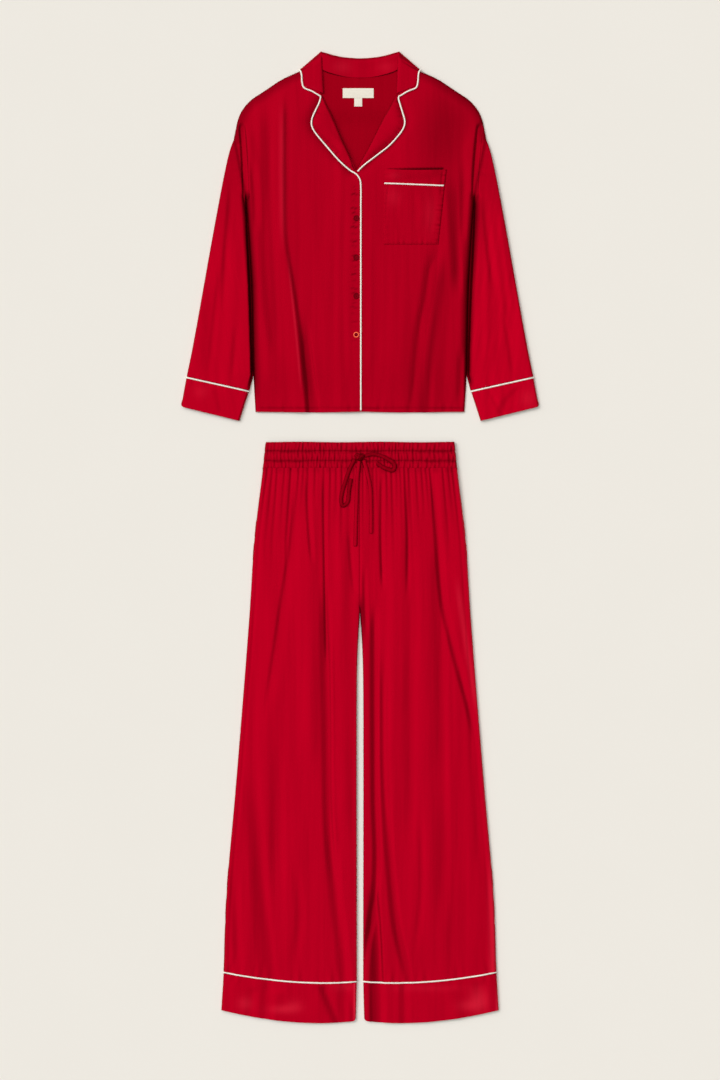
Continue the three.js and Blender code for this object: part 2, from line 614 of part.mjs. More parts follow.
BUTTON_YS.forEach((y, k) => {
  const profile = [[0, 0], [0.75, 0], [1, 0.7], [1, 1.7], [0.86, 2.2], [0.7, 1.6], [0, 1.5]];
  const geometry = new THREE.LatheGeometry(
    profile.map(([radius, z]) => new THREE.Vector2(radius * BUTTON_RADIUS, z)), 14);
  geometry.rotateX(Math.PI / 2);
  const reach = [-1, 0, 1].flatMap((i) => [-1, 0, 1].map((j) => rightFrontTop(
    BUTTON_X + i * BUTTON_RADIUS, y + j * BUTTON_RADIUS)));
  geometry.translate(BUTTON_X, y, Math.max(...reach) + SEAM);
  addMesh(`button_${k + 1}`, geometry, BUTTON_COLOUR, 0.35);
});

// Sleeves with their turned-up cuffs

const SLEEVE_FOLDS = [
  { x0: 236, y0: 655, x1: 262, y1: 420, half: 22, rise: 4.5 },
  { x0: 222, y0: 560, x1: 236, y1: 330, half: 18, rise: 3.0 },
  { x0: 262, y0: 560, x1: 282, y1: 360, half: 15, rise: -1.6 },
  { x0: 285, y0: 440, x1: 296, y1: 300, half: 20, rise: 3.2 },
  { x0: 232, y0: 360, x1: 250, y1: 235, half: 18, rise: 2.6 },
];
const CUFF_SEAM = { inner: { x: 200, y: 262.6 }, outer: { x: 312.3, y: 287.6 } };
const CUFF_END = { inner: { x: 217, y: 209.8 }, outer: { x: 321.8, y: 235.5 } };

function sleeveTop(x, y, s, width) {
  const edge = Math.min(s, width - s);
  const folds = Math.max(0, 1.6 + foldHeight(SLEEVE_FOLDS, Math.abs(x), y));
  return SLEEVE_HEIGHT + rollUp(edge - 3, 18) * folds;
}

function sleeveRings(side) {
  const inner = polyline([
    { x: UNDERARM.x + 0.9, y: UNDERARM.y }, { x: 195.9, y: 455 }, { x: 192.5, y: 292 },
    { x: CUFF_SEAM.inner.x - 0.4, y: CUFF_SEAM.inner.y + 2.2 }]);
  const outer = lineThrough([
    { x: SHOULDER_POINT.x + 0.7, y: SHOULDER_POINT.y + 0.5 }, { x: 236, y: 690 }, { x: 302, y: 338 },
    { x: CUFF_SEAM.outer.x - 0.4, y: CUFF_SEAM.outer.y + 2.2 }]);
  return steps(13).map((t) => {
    const a = inner(t);
    const b = outer(t);
    return flatRing({ x: side * a.x, y: a.y }, { x: side * b.x, y: b.y }, sleeveTop);
  });
}

function cuffRings(side) {
  const along = (t, end) => ({
    x: side * mix(CUFF_SEAM[end].x, CUFF_END[end].x, t),
    y: mix(CUFF_SEAM[end].y, CUFF_END[end].y, t),
  });
  const start = 2.15 / 54;
  return [start, 0.5, 1].map((t) => flatRing(along(t, 'inner'), along(t, 'outer'), sleeveTop));
}

for (const [sideName, side] of [['right', -1], ['left', 1]]) {
  addTube(`sleeve_${sideName}`, sleeveRings(side));
  addTube(`cuff_${sideName}`, cuffRings(side));
  const at = (end) => ({ x: side * CUFF_SEAM[end].x, y: CUFF_SEAM[end].y });
  addRingPiping(`piping_cuff_${sideName}`, at('inner'), at('outer'), sleeveTop);
}

// Trousers: outline of one leg on the positive side, from the waistband down

const LEG_OUTER = [
  { x: WAIST_BOTTOM.half, y: WAIST_BOTTOM.y - 0.4 }, { x: 190, y: -4.5 }, { x: 198.5, y: -133 },
  { x: 211, y: -295 }, { x: 225, y: -465 }, { x: 240, y: -640 }, { x: 244.8, y: -779.5 },
];
const CENTRE_SEAM = [{ x: 0.25, y: WAIST_BOTTOM.y - 0.4 }, { x: 0.25, y: CROTCH_Y }];
const INSEAM = [{ x: 0.25, y: CROTCH_Y }, { x: 4, y: -199 }, { x: 5.5, y: -247 }, { x: 5.7, y: -796 }];
const HEM_GAP = PIPING / 2 + 0.8; // between the middle of the hem piping and the cloth on each side
const HEM_SEAM = { inner: { x: 5.9, y: -798.7 }, outer: { x: 245.3, y: -782 }, drop: 8 };
const HEM_END = { inner: { x: 7.5, y: -869 }, outer: { x: 249.5, y: -850 }, drop: 11 };

// Folds of the trousers, as for the shirt; the two legs hang differently
const TROUSER_FOLDS = [
  { x0: -64, y0: 110, x1: -55, y1: -470, half: 20, rise: -3.2 },
  { x0: -90, y0: 60, x1: -84, y1: -420, half: 20, rise: 4.0 },
  { x0: -38, y0: 40, x1: -34, y1: -560, half: 20, rise: 4.2 },
  { x0: -128, y0: -40, x1: -160, y1: -300, half: 20, rise: 3.6 },
  { x0: -118, y0: 90, x1: -120, y1: -60, half: 14, rise: -2.4 },
  { x0: -175, y0: -120, x1: -205, y1: -620, half: 22, rise: 3.0 },
  { x0: -110, y0: -480, x1: -118, y1: -770, half: 26, rise: 3.4 },
  { x0: 40, y0: 110, x1: 27, y1: -480, half: 18, rise: -3.2 },
  { x0: 27, y0: -480, x1: 16, y1: -740, half: 16, rise: -2.0 },
  { x0: 66, y0: 40, x1: 62, y1: -520, half: 22, rise: 4.4 },
  { x0: 140, y0: 100, x1: 145, y1: -40, half: 16, rise: -2.8 },
  { x0: 145, y0: -40, x1: 190, y1: -330, half: 18, rise: -3.0 },
  { x0: 112, y0: 0, x1: 140, y1: -420, half: 24, rise: 4.0 },
  { x0: 150, y0: -420, x1: 158, y1: -765, half: 26, rise: 3.2 },
  { x0: 70, y0: -600, x1: 72, y1: -790, half: 22, rise: 2.6 },
];

function trouserUnderside(x, y, u) {
  const away = Math.abs(x);
  let edge = distanceToOutline(LEG_OUTER, away, y);
  if (y < CROTCH_Y + 30) edge = Math.min(edge, distanceToOutline(INSEAM, away, y));
  const gather = 1.7 * Math.cos(2 * Math.PI * GATHERS * u);
  const gatherEnd = mix(-10, -90, 0.5 + 0.5 * Math.cos(5 * Math.PI * u));
  const waist = ramp(gatherEnd, WAIST_BOTTOM.y - 10, y);
  const soft = Math.max(0.4, PUFF + Math.max(-2, foldHeight(TROUSER_FOLDS, x, y) * (1 - 0.6 * waist)));
  return CLOTH + SEAM + rollUp(edge) * (soft + waist * (2.4 + gather));
}

// The hem line sags in the middle of each leg
function hemPoint(seam, t, side) {
  return {
    x: side * mix(seam.inner.x, seam.outer.x, t),
    y: mix(seam.inner.y, seam.outer.y, t) - seam.drop * 4 * t * (1 - t) * mix(1.1, 0.9, t),
  };
}

function legBorder(side) {
  const place = (points) => (side > 0 ? points : mirrored(points));
  const low = steps(8).map((t) => {
    const p = hemPoint(HEM_SEAM, t, side);
    return { x: p.x, y: p.y + HEM_GAP };
  });
  low[0].x = side * INSEAM[3].x;
  const inside = place([{ ...low[0], x: INSEAM[3].x }, ...reversed(INSEAM).slice(1), CENTRE_SEAM[0]]);
  const outside = place([{ ...low[8], x: Math.abs(low[8].x) }, ...reversed(LEG_OUTER).slice(1)]);
  return {
    low: lineThrough(low),
    high: polyline(place([CENTRE_SEAM[0], LEG_OUTER[0]])),
    left: polyline(inside),
    right: lineThrough(outside),
  };
}

const legColumns = [0, 0.012, ...steps(2 * GATHERS).slice(1, -1), 0.988, 1];
// Rows lie closer together towards the waist, where the gathers are
const legRows = [
  0, 0.06, 0.14, 0.23, 0.32, 0.41, 0.5, 0.58, 0.66, 0.73, 0.79, 0.84, 0.885, 0.925, 0.96, 0.985, 1];
for (const [sideName, side] of [['right', -1], ['left', 1]]) {
  addPanel(`trouser_front_${sideName}`, legBorder(side), legColumns, legRows,
    trouserUnderside);
  addPanel(`trouser_back_${sideName}`, legBorder(side), steps(8), legRows.filter((_, k) => k % 2 === 0),
    () => 0);
}

// Hem bands with their piping

function hemTop(x, y, s, width) {
  const edge = Math.min(s, width - s);
  const folds = Math.max(0, 2 + 0.7 * foldHeight(TROUSER_FOLDS, x, Math.max(y, -765)));
  return SLEEVE_HEIGHT + rollUp(edge - 3, 26) * folds;
}

function bandRing(side, t, down) {
  const at = (share) => {
    const top = hemPoint(HEM_SEAM, share, side);
    const end = hemPoint(HEM_END, share, side);
    return { x: mix(top.x, end.x, t), y: mix(top.y, end.y, t) - down };
  };
  const ring = flatRing(at(0), at(1), hemTop);
  const width = Math.hypot(at(1).x - at(0).x, at(1).y - at(0).y);
  for (const points of [ring.outside, ring.inside]) {
    for (const p of points) {
      const share = clamp01(p.s / width);
      const straight = mix(at(0).y, at(1).y, share);
      p.y += at(share).y - straight;
    }
  }
  return ring;
}

function addBentRingPiping(name, side) {
  const inner = hemPoint(HEM_SEAM, 0, side);
  const outer = hemPoint(HEM_SEAM, 1, side);
  addRingPiping(name, inner, outer, hemTop);
  const mesh = object.children[object.children.length - 1];
  const place = mesh.geometry.attributes.position;
  for (let k = 0; k < place.count; k += 1) {
    const share = clamp01((place.getX(k) - inner.x) / (outer.x - inner.x));
    place.setY(k, place.getY(k) + hemPoint(HEM_SEAM, share, side).y - mix(inner.y, outer.y, share));
  }
}

for (const [sideName, side] of [['right', -1], ['left', 1]]) {
  const rings = [bandRing(side, 0, HEM_GAP), bandRing(side, 0.5, 1), bandRing(side, 1, 0)];
  addTube(`hem_band_${sideName}`, rings);
  addBentRingPiping(`piping_hem_${sideName}`, side);
}

// Waistband: a ruched elastic tube, puckered across its front in three channels

const BAND_LEVELS = [
  { share: 0, height: 7.6, pucker: 0.9 }, { share: 0.17, height: 9.6, pucker: 0.8 },
  { share: 0.355, height: 7.4, pucker: 0.2 }, { share: 0.53, height: 9.7, pucker: -0.8 },
  { share: 0.71, height: 7.4, pucker: 0.2 }, { share: 0.86, height: 9.4, pucker: 0.8 },
  { share: 1, height: 7.8, pucker: 0.4 },
];
const BAND_WALL = 2.8; // wall of the waistband, with its elastic

function waistTop(share, level) {
  const fromEdge = (1 - Math.abs(share)) * WAIST_TOP.half;
  return 5.2 + rollUp(fromEdge - 2, 16) * (level.height - 5.2);
}

const waistRings = BAND_LEVELS.map((level) => {
  const bulge = Math.abs(level.pucker) > 0.5 ? 0.6 : 0;
  const half = mix(WAIST_TOP.half, WAIST_BOTTOM.half, level.share) + bulge;
  const y = mix(WAIST_TOP.y, WAIST_BOTTOM.y, level.share);
  const place = (x, z) => ({ x, y, z, s: x });
  const outside = [place(-half, 2.6)];
  for (let k = 0; k <= 2 * PUCKERS; k += 1) {
    const share = mix(-0.985, 0.985, k / (2 * PUCKERS));
    const wave = level.pucker * (k % 2 ? -1 : 1);
    outside.push(place(share * half, waistTop(share, level) + wave));
  }
  outside.push(place(half, 2.6));
  for (const share of [0.985, 0.5, 0, -0.5, -0.985]) outside.push(place(share * half, 0));
  const inside = [-1, -0.5, 0, 0.5, 1].map((share) => place(share * (half - 12), BAND_WALL + 1.1));
  for (const share of [1, -1]) inside.push(place(share * (half - 12), BAND_WALL));
  return { outside, inside };
});
addTube('waistband', waistRings);

// Tie: a knot at the centre of the waistband, two flat loops and two free tails

const TIE_WIDTH = 8;
const TIE_HEIGHT = 3;
const KNOT = { x: -0.9, y: 145 };
const KNOT_RADII = { x: 9, y: 7, z: 4.2 };
const BAND_CREST = 10.4; // height of the waistband's highest puckers

function groundUnderTie(x, y) {
  if (y > WAIST_BOTTOM.y - 2) return BAND_CREST;
  let most = 0;
  for (const dx of [-6, -3, 0, 3, 6]) {
    for (const dy of [-5, 0, 5]) {
      const u = Math.abs(x + dx) / mix(WAIST_BOTTOM.half, 190, (WAIST_BOTTOM.y - y) / 126);
      most = Math.max(most, trouserUnderside(x + dx, y + dy, u) + CLOTH);
    }
  }
  return mix(BAND_CREST, most, ramp(WAIST_BOTTOM.y, WAIST_BOTTOM.y - 25, y));
}

const knotShape = new THREE.SphereGeometry(1, 10, 7);
knotShape.rotateX(Math.PI / 2);
knotShape.scale(KNOT_RADII.x, KNOT_RADII.y, KNOT_RADII.z);
knotShape.translate(KNOT.x, KNOT.y, BAND_CREST + SEAM + KNOT_RADII.z);
addMesh('tie_knot', knotShape);

function addTie(name, points, lift = TIE_HEIGHT / 2 + SEAM + 0.3) {
  const run = points.map((p) => ({ x: p.x, y: p.y, z: groundUnderTie(p.x, p.y) + lift + (p.up ?? 0) }));
  addCord(name, run, TIE_HEIGHT, CLOTH_COLOUR, { height: TIE_WIDTH, sides: 8, step: 9 });
}

addTie('tie_loop_right', [
  { x: -9.4, y: 140.8, up: 1.5 }, { x: -18, y: 124 }, { x: -27, y: 98 }, { x: -34, y: 68 },
  { x: -31, y: 57 },
  { x: -23, y: 62 }, { x: -19.5, y: 84 }, { x: -16, y: 106 }]);
addTie('tie_loop_left', [
  { x: 8.7, y: 146.4, up: 1.5 }, { x: 24, y: 149.5 }, { x: 44, y: 144 }, { x: 62, y: 131 },
  { x: 60, y: 121 },
  { x: 46, y: 124 }, { x: 30, y: 134 }]);
addTie('tie_tail_right', [
  { x: -1.4, y: 137.6, up: 1.5 }, { x: -4.2, y: 112, up: 0.6 }, { x: -6, y: 67 }, { x: -7.4, y: 20 },
  { x: -8.3, y: -16 }]);
addTie('tie_tail_left', [
  { x: 6.9, y: 139.2, up: 0.6 }, { x: 13.2, y: 116 }, { x: 18.5, y: 90 }, { x: 20, y: 50 },
  { x: 20.2, y: 7 }]);

export default object;
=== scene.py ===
from collections import namedtuple
from math import pi, radians

import bmesh
import bpy
import numpy as np
from mathutils import Matrix, Vector


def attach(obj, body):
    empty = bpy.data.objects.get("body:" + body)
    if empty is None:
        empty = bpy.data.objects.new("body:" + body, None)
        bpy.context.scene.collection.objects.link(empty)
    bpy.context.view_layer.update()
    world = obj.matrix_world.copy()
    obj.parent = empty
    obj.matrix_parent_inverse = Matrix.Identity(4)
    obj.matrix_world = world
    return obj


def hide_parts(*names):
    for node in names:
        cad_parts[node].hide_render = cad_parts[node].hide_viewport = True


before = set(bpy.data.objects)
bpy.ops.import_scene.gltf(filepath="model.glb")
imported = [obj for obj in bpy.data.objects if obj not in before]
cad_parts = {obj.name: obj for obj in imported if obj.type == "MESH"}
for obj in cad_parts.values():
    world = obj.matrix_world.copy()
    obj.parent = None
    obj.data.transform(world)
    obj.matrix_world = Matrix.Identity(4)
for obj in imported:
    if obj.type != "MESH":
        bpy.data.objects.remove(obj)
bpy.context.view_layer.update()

# The pyjama set lies face up. Lengths below are in millimetres, as the maker measures them, and MM turns
# them into metres. X runs across the set, Y up to the collar and Z off the table. Right is the wearer's.

MM = 0.001

# The table and the light
# A pale matt board under a broad lamp at the upper left, in a white room that is brightest on that side,
# like a photographer's soft box. The camera hangs straight above.

CAMERA_HEIGHT = 5.0
PICTURE_HEIGHT = 1.944
PICTURE_MIDDLE_Y = -0.0045
LAMP_FROM = (-0.6, 0.35, 0.72)
camera = bpy.data.objects.new("camera", bpy.data.cameras.new("camera"))
camera.location = (0, PICTURE_MIDDLE_Y, CAMERA_HEIGHT)
camera.data.lens = camera.data.sensor_width * CAMERA_HEIGHT / PICTURE_HEIGHT
bpy.context.collection.objects.link(camera)
bpy.context.scene.camera = camera

lamp = bpy.data.objects.new("lamp", bpy.data.lights.new("lamp", "SUN"))
lamp.data.energy = 0.9
lamp.data.angle = radians(20)
lamp.rotation_euler = Vector(LAMP_FROM).to_track_quat("Z", "Y").to_euler()
lamp.visible_glossy = False
bpy.context.collection.objects.link(lamp)
bpy.context.scene.view_settings.view_transform = "Standard"


class Wire:
    """An output of a shader node, so that sums on shader values read as plain sums."""

    def __init__(self, finish, socket):
        self.finish = finish
        self.socket = socket

    def sum(self, operation, first, second):
        return self.finish.node("ShaderNodeMath", {"operation": operation}, {0: first, 1: second})

    def __add__(self, other):
        return self.sum("ADD", self, other)

    def __mul__(self, other):
        return self.sum("MULTIPLY", self, other)

    def __rsub__(self, other):
        return self.sum("SUBTRACT", other, self)

    __radd__ = __add__


class Finish:
    """A material, or the light of a room, with its nodes added one by one."""

    def __init__(self, name, room=None):
        self.material = room or bpy.data.materials.new(name)
        self.material.use_nodes = True
        self.tree = self.material.node_tree
        self.surface = self.tree.nodes["Background" if room else "Principled BSDF"]

    def feed(self, socket, value):
        if isinstance(value, Wire):
            self.tree.links.new(value.socket, socket)
        else:
            socket.default_value = value

    def node(self, kind, settings=None, inputs=None, output=0):
        made = self.tree.nodes.new(kind)
        for name, value in (settings or {}).items():
            setattr(made, name, value)
        for name, value in (inputs or {}).items():
            self.feed(made.inputs[name], value)
        return Wire(self, made.outputs[output])

    def set(self, **values):
        for name, value in values.items():
            self.feed(self.surface.inputs[name.replace("_", " ")], value)

    def place(self, scale, turn=0.0):
        """Object coordinates in metres, turned on the table and then scaled."""
        where = self.node("ShaderNodeTexCoord", output="Object")
        turned = self.node("ShaderNodeVectorRotate", {"rotation_type": "Z_AXIS"},
                           {"Vector": where, "Angle": turn})
        return self.node("ShaderNodeVectorMath", {"operation": "MULTIPLY"}, {0: turned, 1: scale})

    def noise(self, place, detail=2.0):
        return self.node("ShaderNodeTexNoise", inputs={"Vector": place, "Scale": 1.0, "Detail": detail})

    def blend(self, share, first, second):
        return self.node("ShaderNodeMix", {"data_type": "RGBA"}, {0: share, 6: first, 7: second}, output=2)

    def relief(self, height, depth):
        return self.node("ShaderNodeBump", inputs={"Height": height, "Distance": depth, "Strength": 1.0})


SOFT_BOX = (-0.38, 0.2, 0.903)
room = Finish("room", bpy.data.worlds.new("room"))
towards_box = room.node("ShaderNodeVectorMath", {"operation": "DOT_PRODUCT"}, {
    0: room.node("ShaderNodeTexCoord", output="Generated"), 1: SOFT_BOX}, output="Value")
room.set(Color=(1, 1, 1, 1), Strength=room.node("ShaderNodeMapRange", {"interpolation_type": "SMOOTHSTEP"}, {
    "Value": towards_box, "From Min": 0.45, "From Max": 1.0, "To Min": 0.14, "To Max": 1.81}))
bpy.context.scene.world = room.material

BOARD_COLOUR = (0.828, 0.793, 0.727, 1)
BOARD_SHADE = (0.815, 0.78, 0.714, 1)
BOARD_HALF = 20
BOARD_DROP = 0.0001  # keeps the board from showing through what rests on it
board_finish = Finish("board")
board_finish.set(Base_Color=board_finish.blend(
    board_finish.noise(board_finish.place((6, 6, 6))), BOARD_COLOUR, BOARD_SHADE),
    Roughness=0.9, Specular_IOR_Level=0.1)


def object_of(mesh, name, material=None):
    """An object in the scene, made of a mesh that isn't needed any longer."""
    made = bpy.data.objects.new(name, bpy.data.meshes.new(name))
    mesh.to_mesh(made.data)
    mesh.free()
    if material:
        made.data.materials.append(material)
    bpy.context.collection.objects.link(made)
    return made


board_mesh = bmesh.new()
bmesh.ops.create_grid(board_mesh, x_segments=1, y_segments=1, size=BOARD_HALF)
bmesh.ops.translate(board_mesh, verts=board_mesh.verts, vec=(0, 0, -BOARD_DROP))
board = object_of(board_mesh, "board", board_finish.material)

# Shirt back
# One panel of dyed satin, cut straight at the hem and shaped at the armholes and shoulders. It rests flat,
# and only its collar end is lifted, by the collar that is turned down under it.

SATIN_RED = (0.36, 0.0, 0.010, 1)
SATIN_DEEP = (0.32, 0.0, 0.0085, 1)
LEG_RED = (0.42, 0.0, 0.012, 1)  # the legs and sleeves: a lighter copy of the same red, as painted light, so that they show more lit
LEG_DEEP = (0.375, 0.0, 0.0105, 1)
# A darker copy of the red for the inside of the back, as painted shade where it shows inside the neck
INNER_RED = (0.295, 0.0, 0.0065, 1)
INNER_DEEP = (0.265, 0.0, 0.0055, 1)
# Painted shadow and painted highlight, which each piece's shade attribute mixes into the satin's red
SATIN_SHADOW = (0.045, 0.0, 0.001, 1)
SATIN_HIGHLIGHT = (0.75, 0.02, 0.05, 1)
SATIN_TINT = (1.0, 0.0, 0.06, 1)


def satin(name, turn=0.0, red=SATIN_RED, deep=SATIN_DEEP, crush=0.0005, gloss=0.6):
    """Dyed satin: long soft threads down the cloth, a faint crumple, and a low red gloss."""
    finish = Finish(name)
    streaks = finish.noise(finish.place((110, 6, 110), turn), 3)
    crumple = finish.noise(finish.place((40, 22, 40), turn), 3)
    threads = finish.noise(finish.place((2600, 320, 2600), turn), 1)
    # The shade attribute paints shade where it is above 0, and a painted highlight where it is below 0
    shade = finish.node("ShaderNodeAttribute", {"attribute_name": "shade"}, output="Fac")
    finish.set(
        Base_Color=finish.blend(0 - shade, finish.blend(
            shade, finish.blend(streaks * 0.7 + crumple * 0.3, red, deep), SATIN_SHADOW), SATIN_HIGHLIGHT),
        Roughness=0.36 + streaks * 0.1,
        Normal=finish.relief(streaks * 0.55 + crumple * 0.38 + threads * 0.07, crush),
        Metallic=gloss,
        Specular_IOR_Level=0.4,
        Specular_Tint=SATIN_TINT,
        Sheen_Weight=0.12,
        Sheen_Roughness=0.4,
        Sheen_Tint=SATIN_TINT)
    return finish.material


body_satin = satin("body_satin")
# Painted light: the trouser legs and hem bands get the lighter copy of the red
leg_satin = satin("leg_satin", red=LEG_RED, deep=LEG_DEEP)
inner_satin = satin("inner_satin", red=INNER_RED, deep=INNER_DEEP, gloss=0.3)  # the dull reverse side of the cloth, less glossy, and its red darkened as painted shade inside the neck

CLOTH = 0.5  # thickness of the satin
RESTING = CLOTH + 0.05  # the upper side of a cloth that rests on the board
SHIRT_HEM_Y = 226
SHIRT_HEM_HALF = 188
UNDERARM = (206, 612)
SHOULDER_POINT = (227, 718)
NECK_POINT = (77, 855)
COLLAR_LIFT = 4.3
BODY_SIDE = [(SHIRT_HEM_HALF, SHIRT_HEM_Y), (191.5, 291), (195, 455), UNDERARM]
SHOULDER = [SHOULDER_POINT, (218.5, 755), (211, 770), (197, 786), (172, 803), (140, 823.5), (119, 833.5),
            (106, 839), (92, 847), NECK_POINT]
BACK_NECK = [NECK_POINT, (66, 839), (35, 829.5), (0, 826)]


def mix(first, second, share):
    return first + (second - first) * share


def ramp(start, end, value):
    share = np.clip((value - start) / (end - start), 0, 1)
    return share * share * (3 - 2 * share)


def roll(away, width):
    """Quarter-round rise from an edge."""
    rest = 1 - np.clip(away / width, 0, 1)
    return np.sqrt(1 - rest * rest)


def mirrored(line):
    return [(-x, y) for x, y in line]


def soft(points, per_span=24):
    """A smooth run through points, as an array of places on it."""
    points = np.array(points, float)
    padded = np.vstack([2 * points[0] - points[1], points, 2 * points[-1] - points[-2]])
    spans = []
    for k in range(1, len(padded) - 2):
        p = padded[k - 1:k + 3]
        knots = np.concatenate([[0], np.cumsum(np.linalg.norm(np.diff(p, axis=0), axis=1) ** 0.5)])
        t = np.linspace(knots[1], knots[2], per_span, endpoint=False)[:, None]

        def between(a, b, i, j):
            return (knots[j] - t) / (knots[j] - knots[i]) * a + (t - knots[i]) / (knots[j] - knots[i]) * b
        low = between(p[0], p[1], 0, 1)
        middle = between(p[1], p[2], 1, 2)
        high = between(p[2], p[3], 2, 3)
        spans.append(between(between(low, middle, 0, 2), between(middle, high, 1, 3), 1, 2))
    return np.vstack([*spans, points[-1:]])


def joined(*lines):
    """Lines that meet at corners, as one run."""
    return np.vstack([np.array(line, float) for line in lines])


def run_of(places):
    """The place on a line at any share of its length."""
    places = np.array(places, float)
    lengths = np.concatenate([[0], np.cumsum(np.linalg.norm(np.diff(places, axis=0), axis=1))])

    def at(share):
        return np.stack([np.interp(np.asarray(share) * lengths[-1], lengths, places[:, axis])
                         for axis in range(places.shape[1])], axis=-1)
    return at


def panel(low, high, left, right, us, vs):
    """Places of a panel between its four border lines."""
    low, high, left, right = run_of(low), run_of(high), run_of(left), run_of(right)
    u, v = np.meshgrid(us, vs)
    u, v = u[..., None], v[..., None]
    across = mix(low(us)[None], high(us)[None], v)
    upwards = mix(left(vs)[:, None], right(vs)[:, None], u)
    corners = mix(mix(low(0), low(1), u), mix(high(0), high(1), u), v)
    place = across + upwards - corners
    return place[..., 0], place[..., 1]


def near_line(line, x, y):
    """Distance from a line, and how far along it the nearest place is, for each place."""
    nearest = np.full(np.shape(x), np.inf)
    along = np.zeros(np.shape(x))
    run = 0
    for (x0, y0), (x1, y1) in zip(line[:-1], line[1:]):
        dx, dy = x1 - x0, y1 - y0
        length = np.hypot(dx, dy)
        share = np.clip(((x - x0) * dx + (y - y0) * dy) / length ** 2, 0, 1)
        away = np.hypot(x - x0 - share * dx, y - y0 - share * dy)
        along = np.where(away < nearest, run + share * length, along)
        nearest = np.minimum(nearest, away)
        run += length
    return nearest, along


def welded(mesh):
    """Joins the borders of a rolled grid, with all its faces turned one way."""
    bmesh.ops.remove_doubles(mesh, verts=mesh.verts, dist=1e-6)
    bmesh.ops.recalc_face_normals(mesh, faces=mesh.faces)


def applied(piece):
    """Makes a piece's modifiers part of its mesh."""
    whole = piece.evaluated_get(bpy.context.evaluated_depsgraph_get())
    piece.data = bpy.data.meshes.new_from_object(whole)
    piece.modifiers.clear()


def finished(mesh, name, material, node, sharp=50, wall=0):
    """A finished piece: smooth, with its wall, riding on the set, in place of its solid."""
    piece = object_of(mesh, name, material)
    if wall:
        thickness = piece.modifiers.new("wall", "SOLIDIFY")
        thickness.thickness = wall * MM
        thickness.offset = -1
        applied(piece)
    piece.data.shade_smooth()
    piece.data.set_sharp_from_angle(angle=radians(sharp))
    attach(piece, "root")
    if node:
        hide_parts(node)
    return piece


def moved_grid(points, material_up=True, shade=None):
    """A grid of cloth moved to rows of places. Shade is painted shade where it is above 0, and a painted
    highlight below 0.
    """
    rows, columns = points.shape[:2]
    mesh = bmesh.new()
    bmesh.ops.create_grid(mesh, x_segments=columns - 1, y_segments=rows - 1, size=0.5)
    # Painted shade for each place, and painted highlight where it is below 0
    depth = mesh.verts.layers.float.new("shade")
    for vert in mesh.verts:
        row = round((vert.co.y + 0.5) * (rows - 1))
        column = round((vert.co.x + 0.5) * (columns - 1))
        vert.co = points[row, column] * MM
        if shade is not None:
            vert[depth] = shade[row, column]
    if material_up and sum(face.normal.z * face.calc_area() for face in updated(mesh).faces) < 0:
        bmesh.ops.reverse_faces(mesh, faces=mesh.faces)
    return mesh


def updated(mesh):
    mesh.normal_update()
    return mesh


def turned_out(mesh):
    """Turns a closed mesh so that its faces point outwards."""
    if mesh.calc_volume(signed=True) < 0:
        bmesh.ops.reverse_faces(mesh, faces=mesh.faces)
    mesh.normal_update()


def cloth_piece(name, x, y, top, material=body_satin, thickness=CLOTH,
                shade=None):
    """A sheet of cloth with its upper side at the height top."""
    mesh = moved_grid(np.stack([x, y, top], axis=-1), shade=shade)
    piece = finished(mesh, name + "_cloth", material, name, wall=thickness)


def back_top(x, y):
    """The back rests flat, but for the lift of the collar turned under it."""
    return COLLAR_LIFT * ramp(735, 778, y) * ramp(178, 136, np.abs(x)) + RESTING


side_and_armhole = joined(soft(BODY_SIDE), soft([UNDERARM, SHOULDER_POINT]))
back_top_edge = joined(soft(mirrored(SHOULDER)), soft(mirrored(BACK_NECK)), soft(BACK_NECK[::-1]),
                       soft(SHOULDER[::-1]))
back_hem = soft([(-SHIRT_HEM_HALF, SHIRT_HEM_Y), (0, SHIRT_HEM_Y + 1), (SHIRT_HEM_HALF, SHIRT_HEM_Y)])
x, y = panel(back_hem, back_top_edge, side_and_armhole * [-1, 1], side_and_armhole,
             np.linspace(0, 1, 120), np.linspace(0, 1, 110))
cloth_piece("shirt_back", x, y, back_top(x, y), inner_satin)

# Shirt fronts
# The wearer's right front laps over the left one, and both are joined to the back at sides and shoulders.
# Hand-smoothed satin keeps long soft creases down the body, and small puckers at its seams.

PUFF = 2.4  # how high the cloth stands between its seams
WALL = 1.6  # of the solids, whose height the cloth keeps
SEAM = 0.3  # between pieces that are sewn together
SEAM_RISE = SEAM + 2 * WALL - CLOTH - 0.6  # of a front over its back, a little way in from a seam
ON_BACK = 2 * CLOTH + 0.1  # the upper side of a cloth that lies on the back
PLACKET_HALF = 27  # how far the left front reaches under the right one
STITCH_Y = SHIRT_HEM_Y + 6.5
FLAT_EDGES = [soft(BODY_SIDE, 4), soft(SHOULDER, 2)]
RIGHT_OPENING = [(-0.2, 226), (-0.2, 560), (-1.6, 636), (-7, 657), (-25, 700), (-38, 727), (-51, 756),
                 (-62, 781), (-71, 798), (-80, 830), (-77, 855)]
LEFT_OPENING = [(-27, 227), (-27, 560), (-24, 632), (-7, 659), (3, 678), (19, 705), (35, 735), (48, 760),
                (60.7, 786), (71, 799), (80, 830), (77, 855)]

# A fold has a path, its width on either side, its rise, and the length over which its ends fade
Fold = namedtuple("Fold", "path left right rise fade")
# A painted highlight has its middle, its half sizes across and up, and its strength
Highlight = namedtuple("Highlight", "x y across up strength")

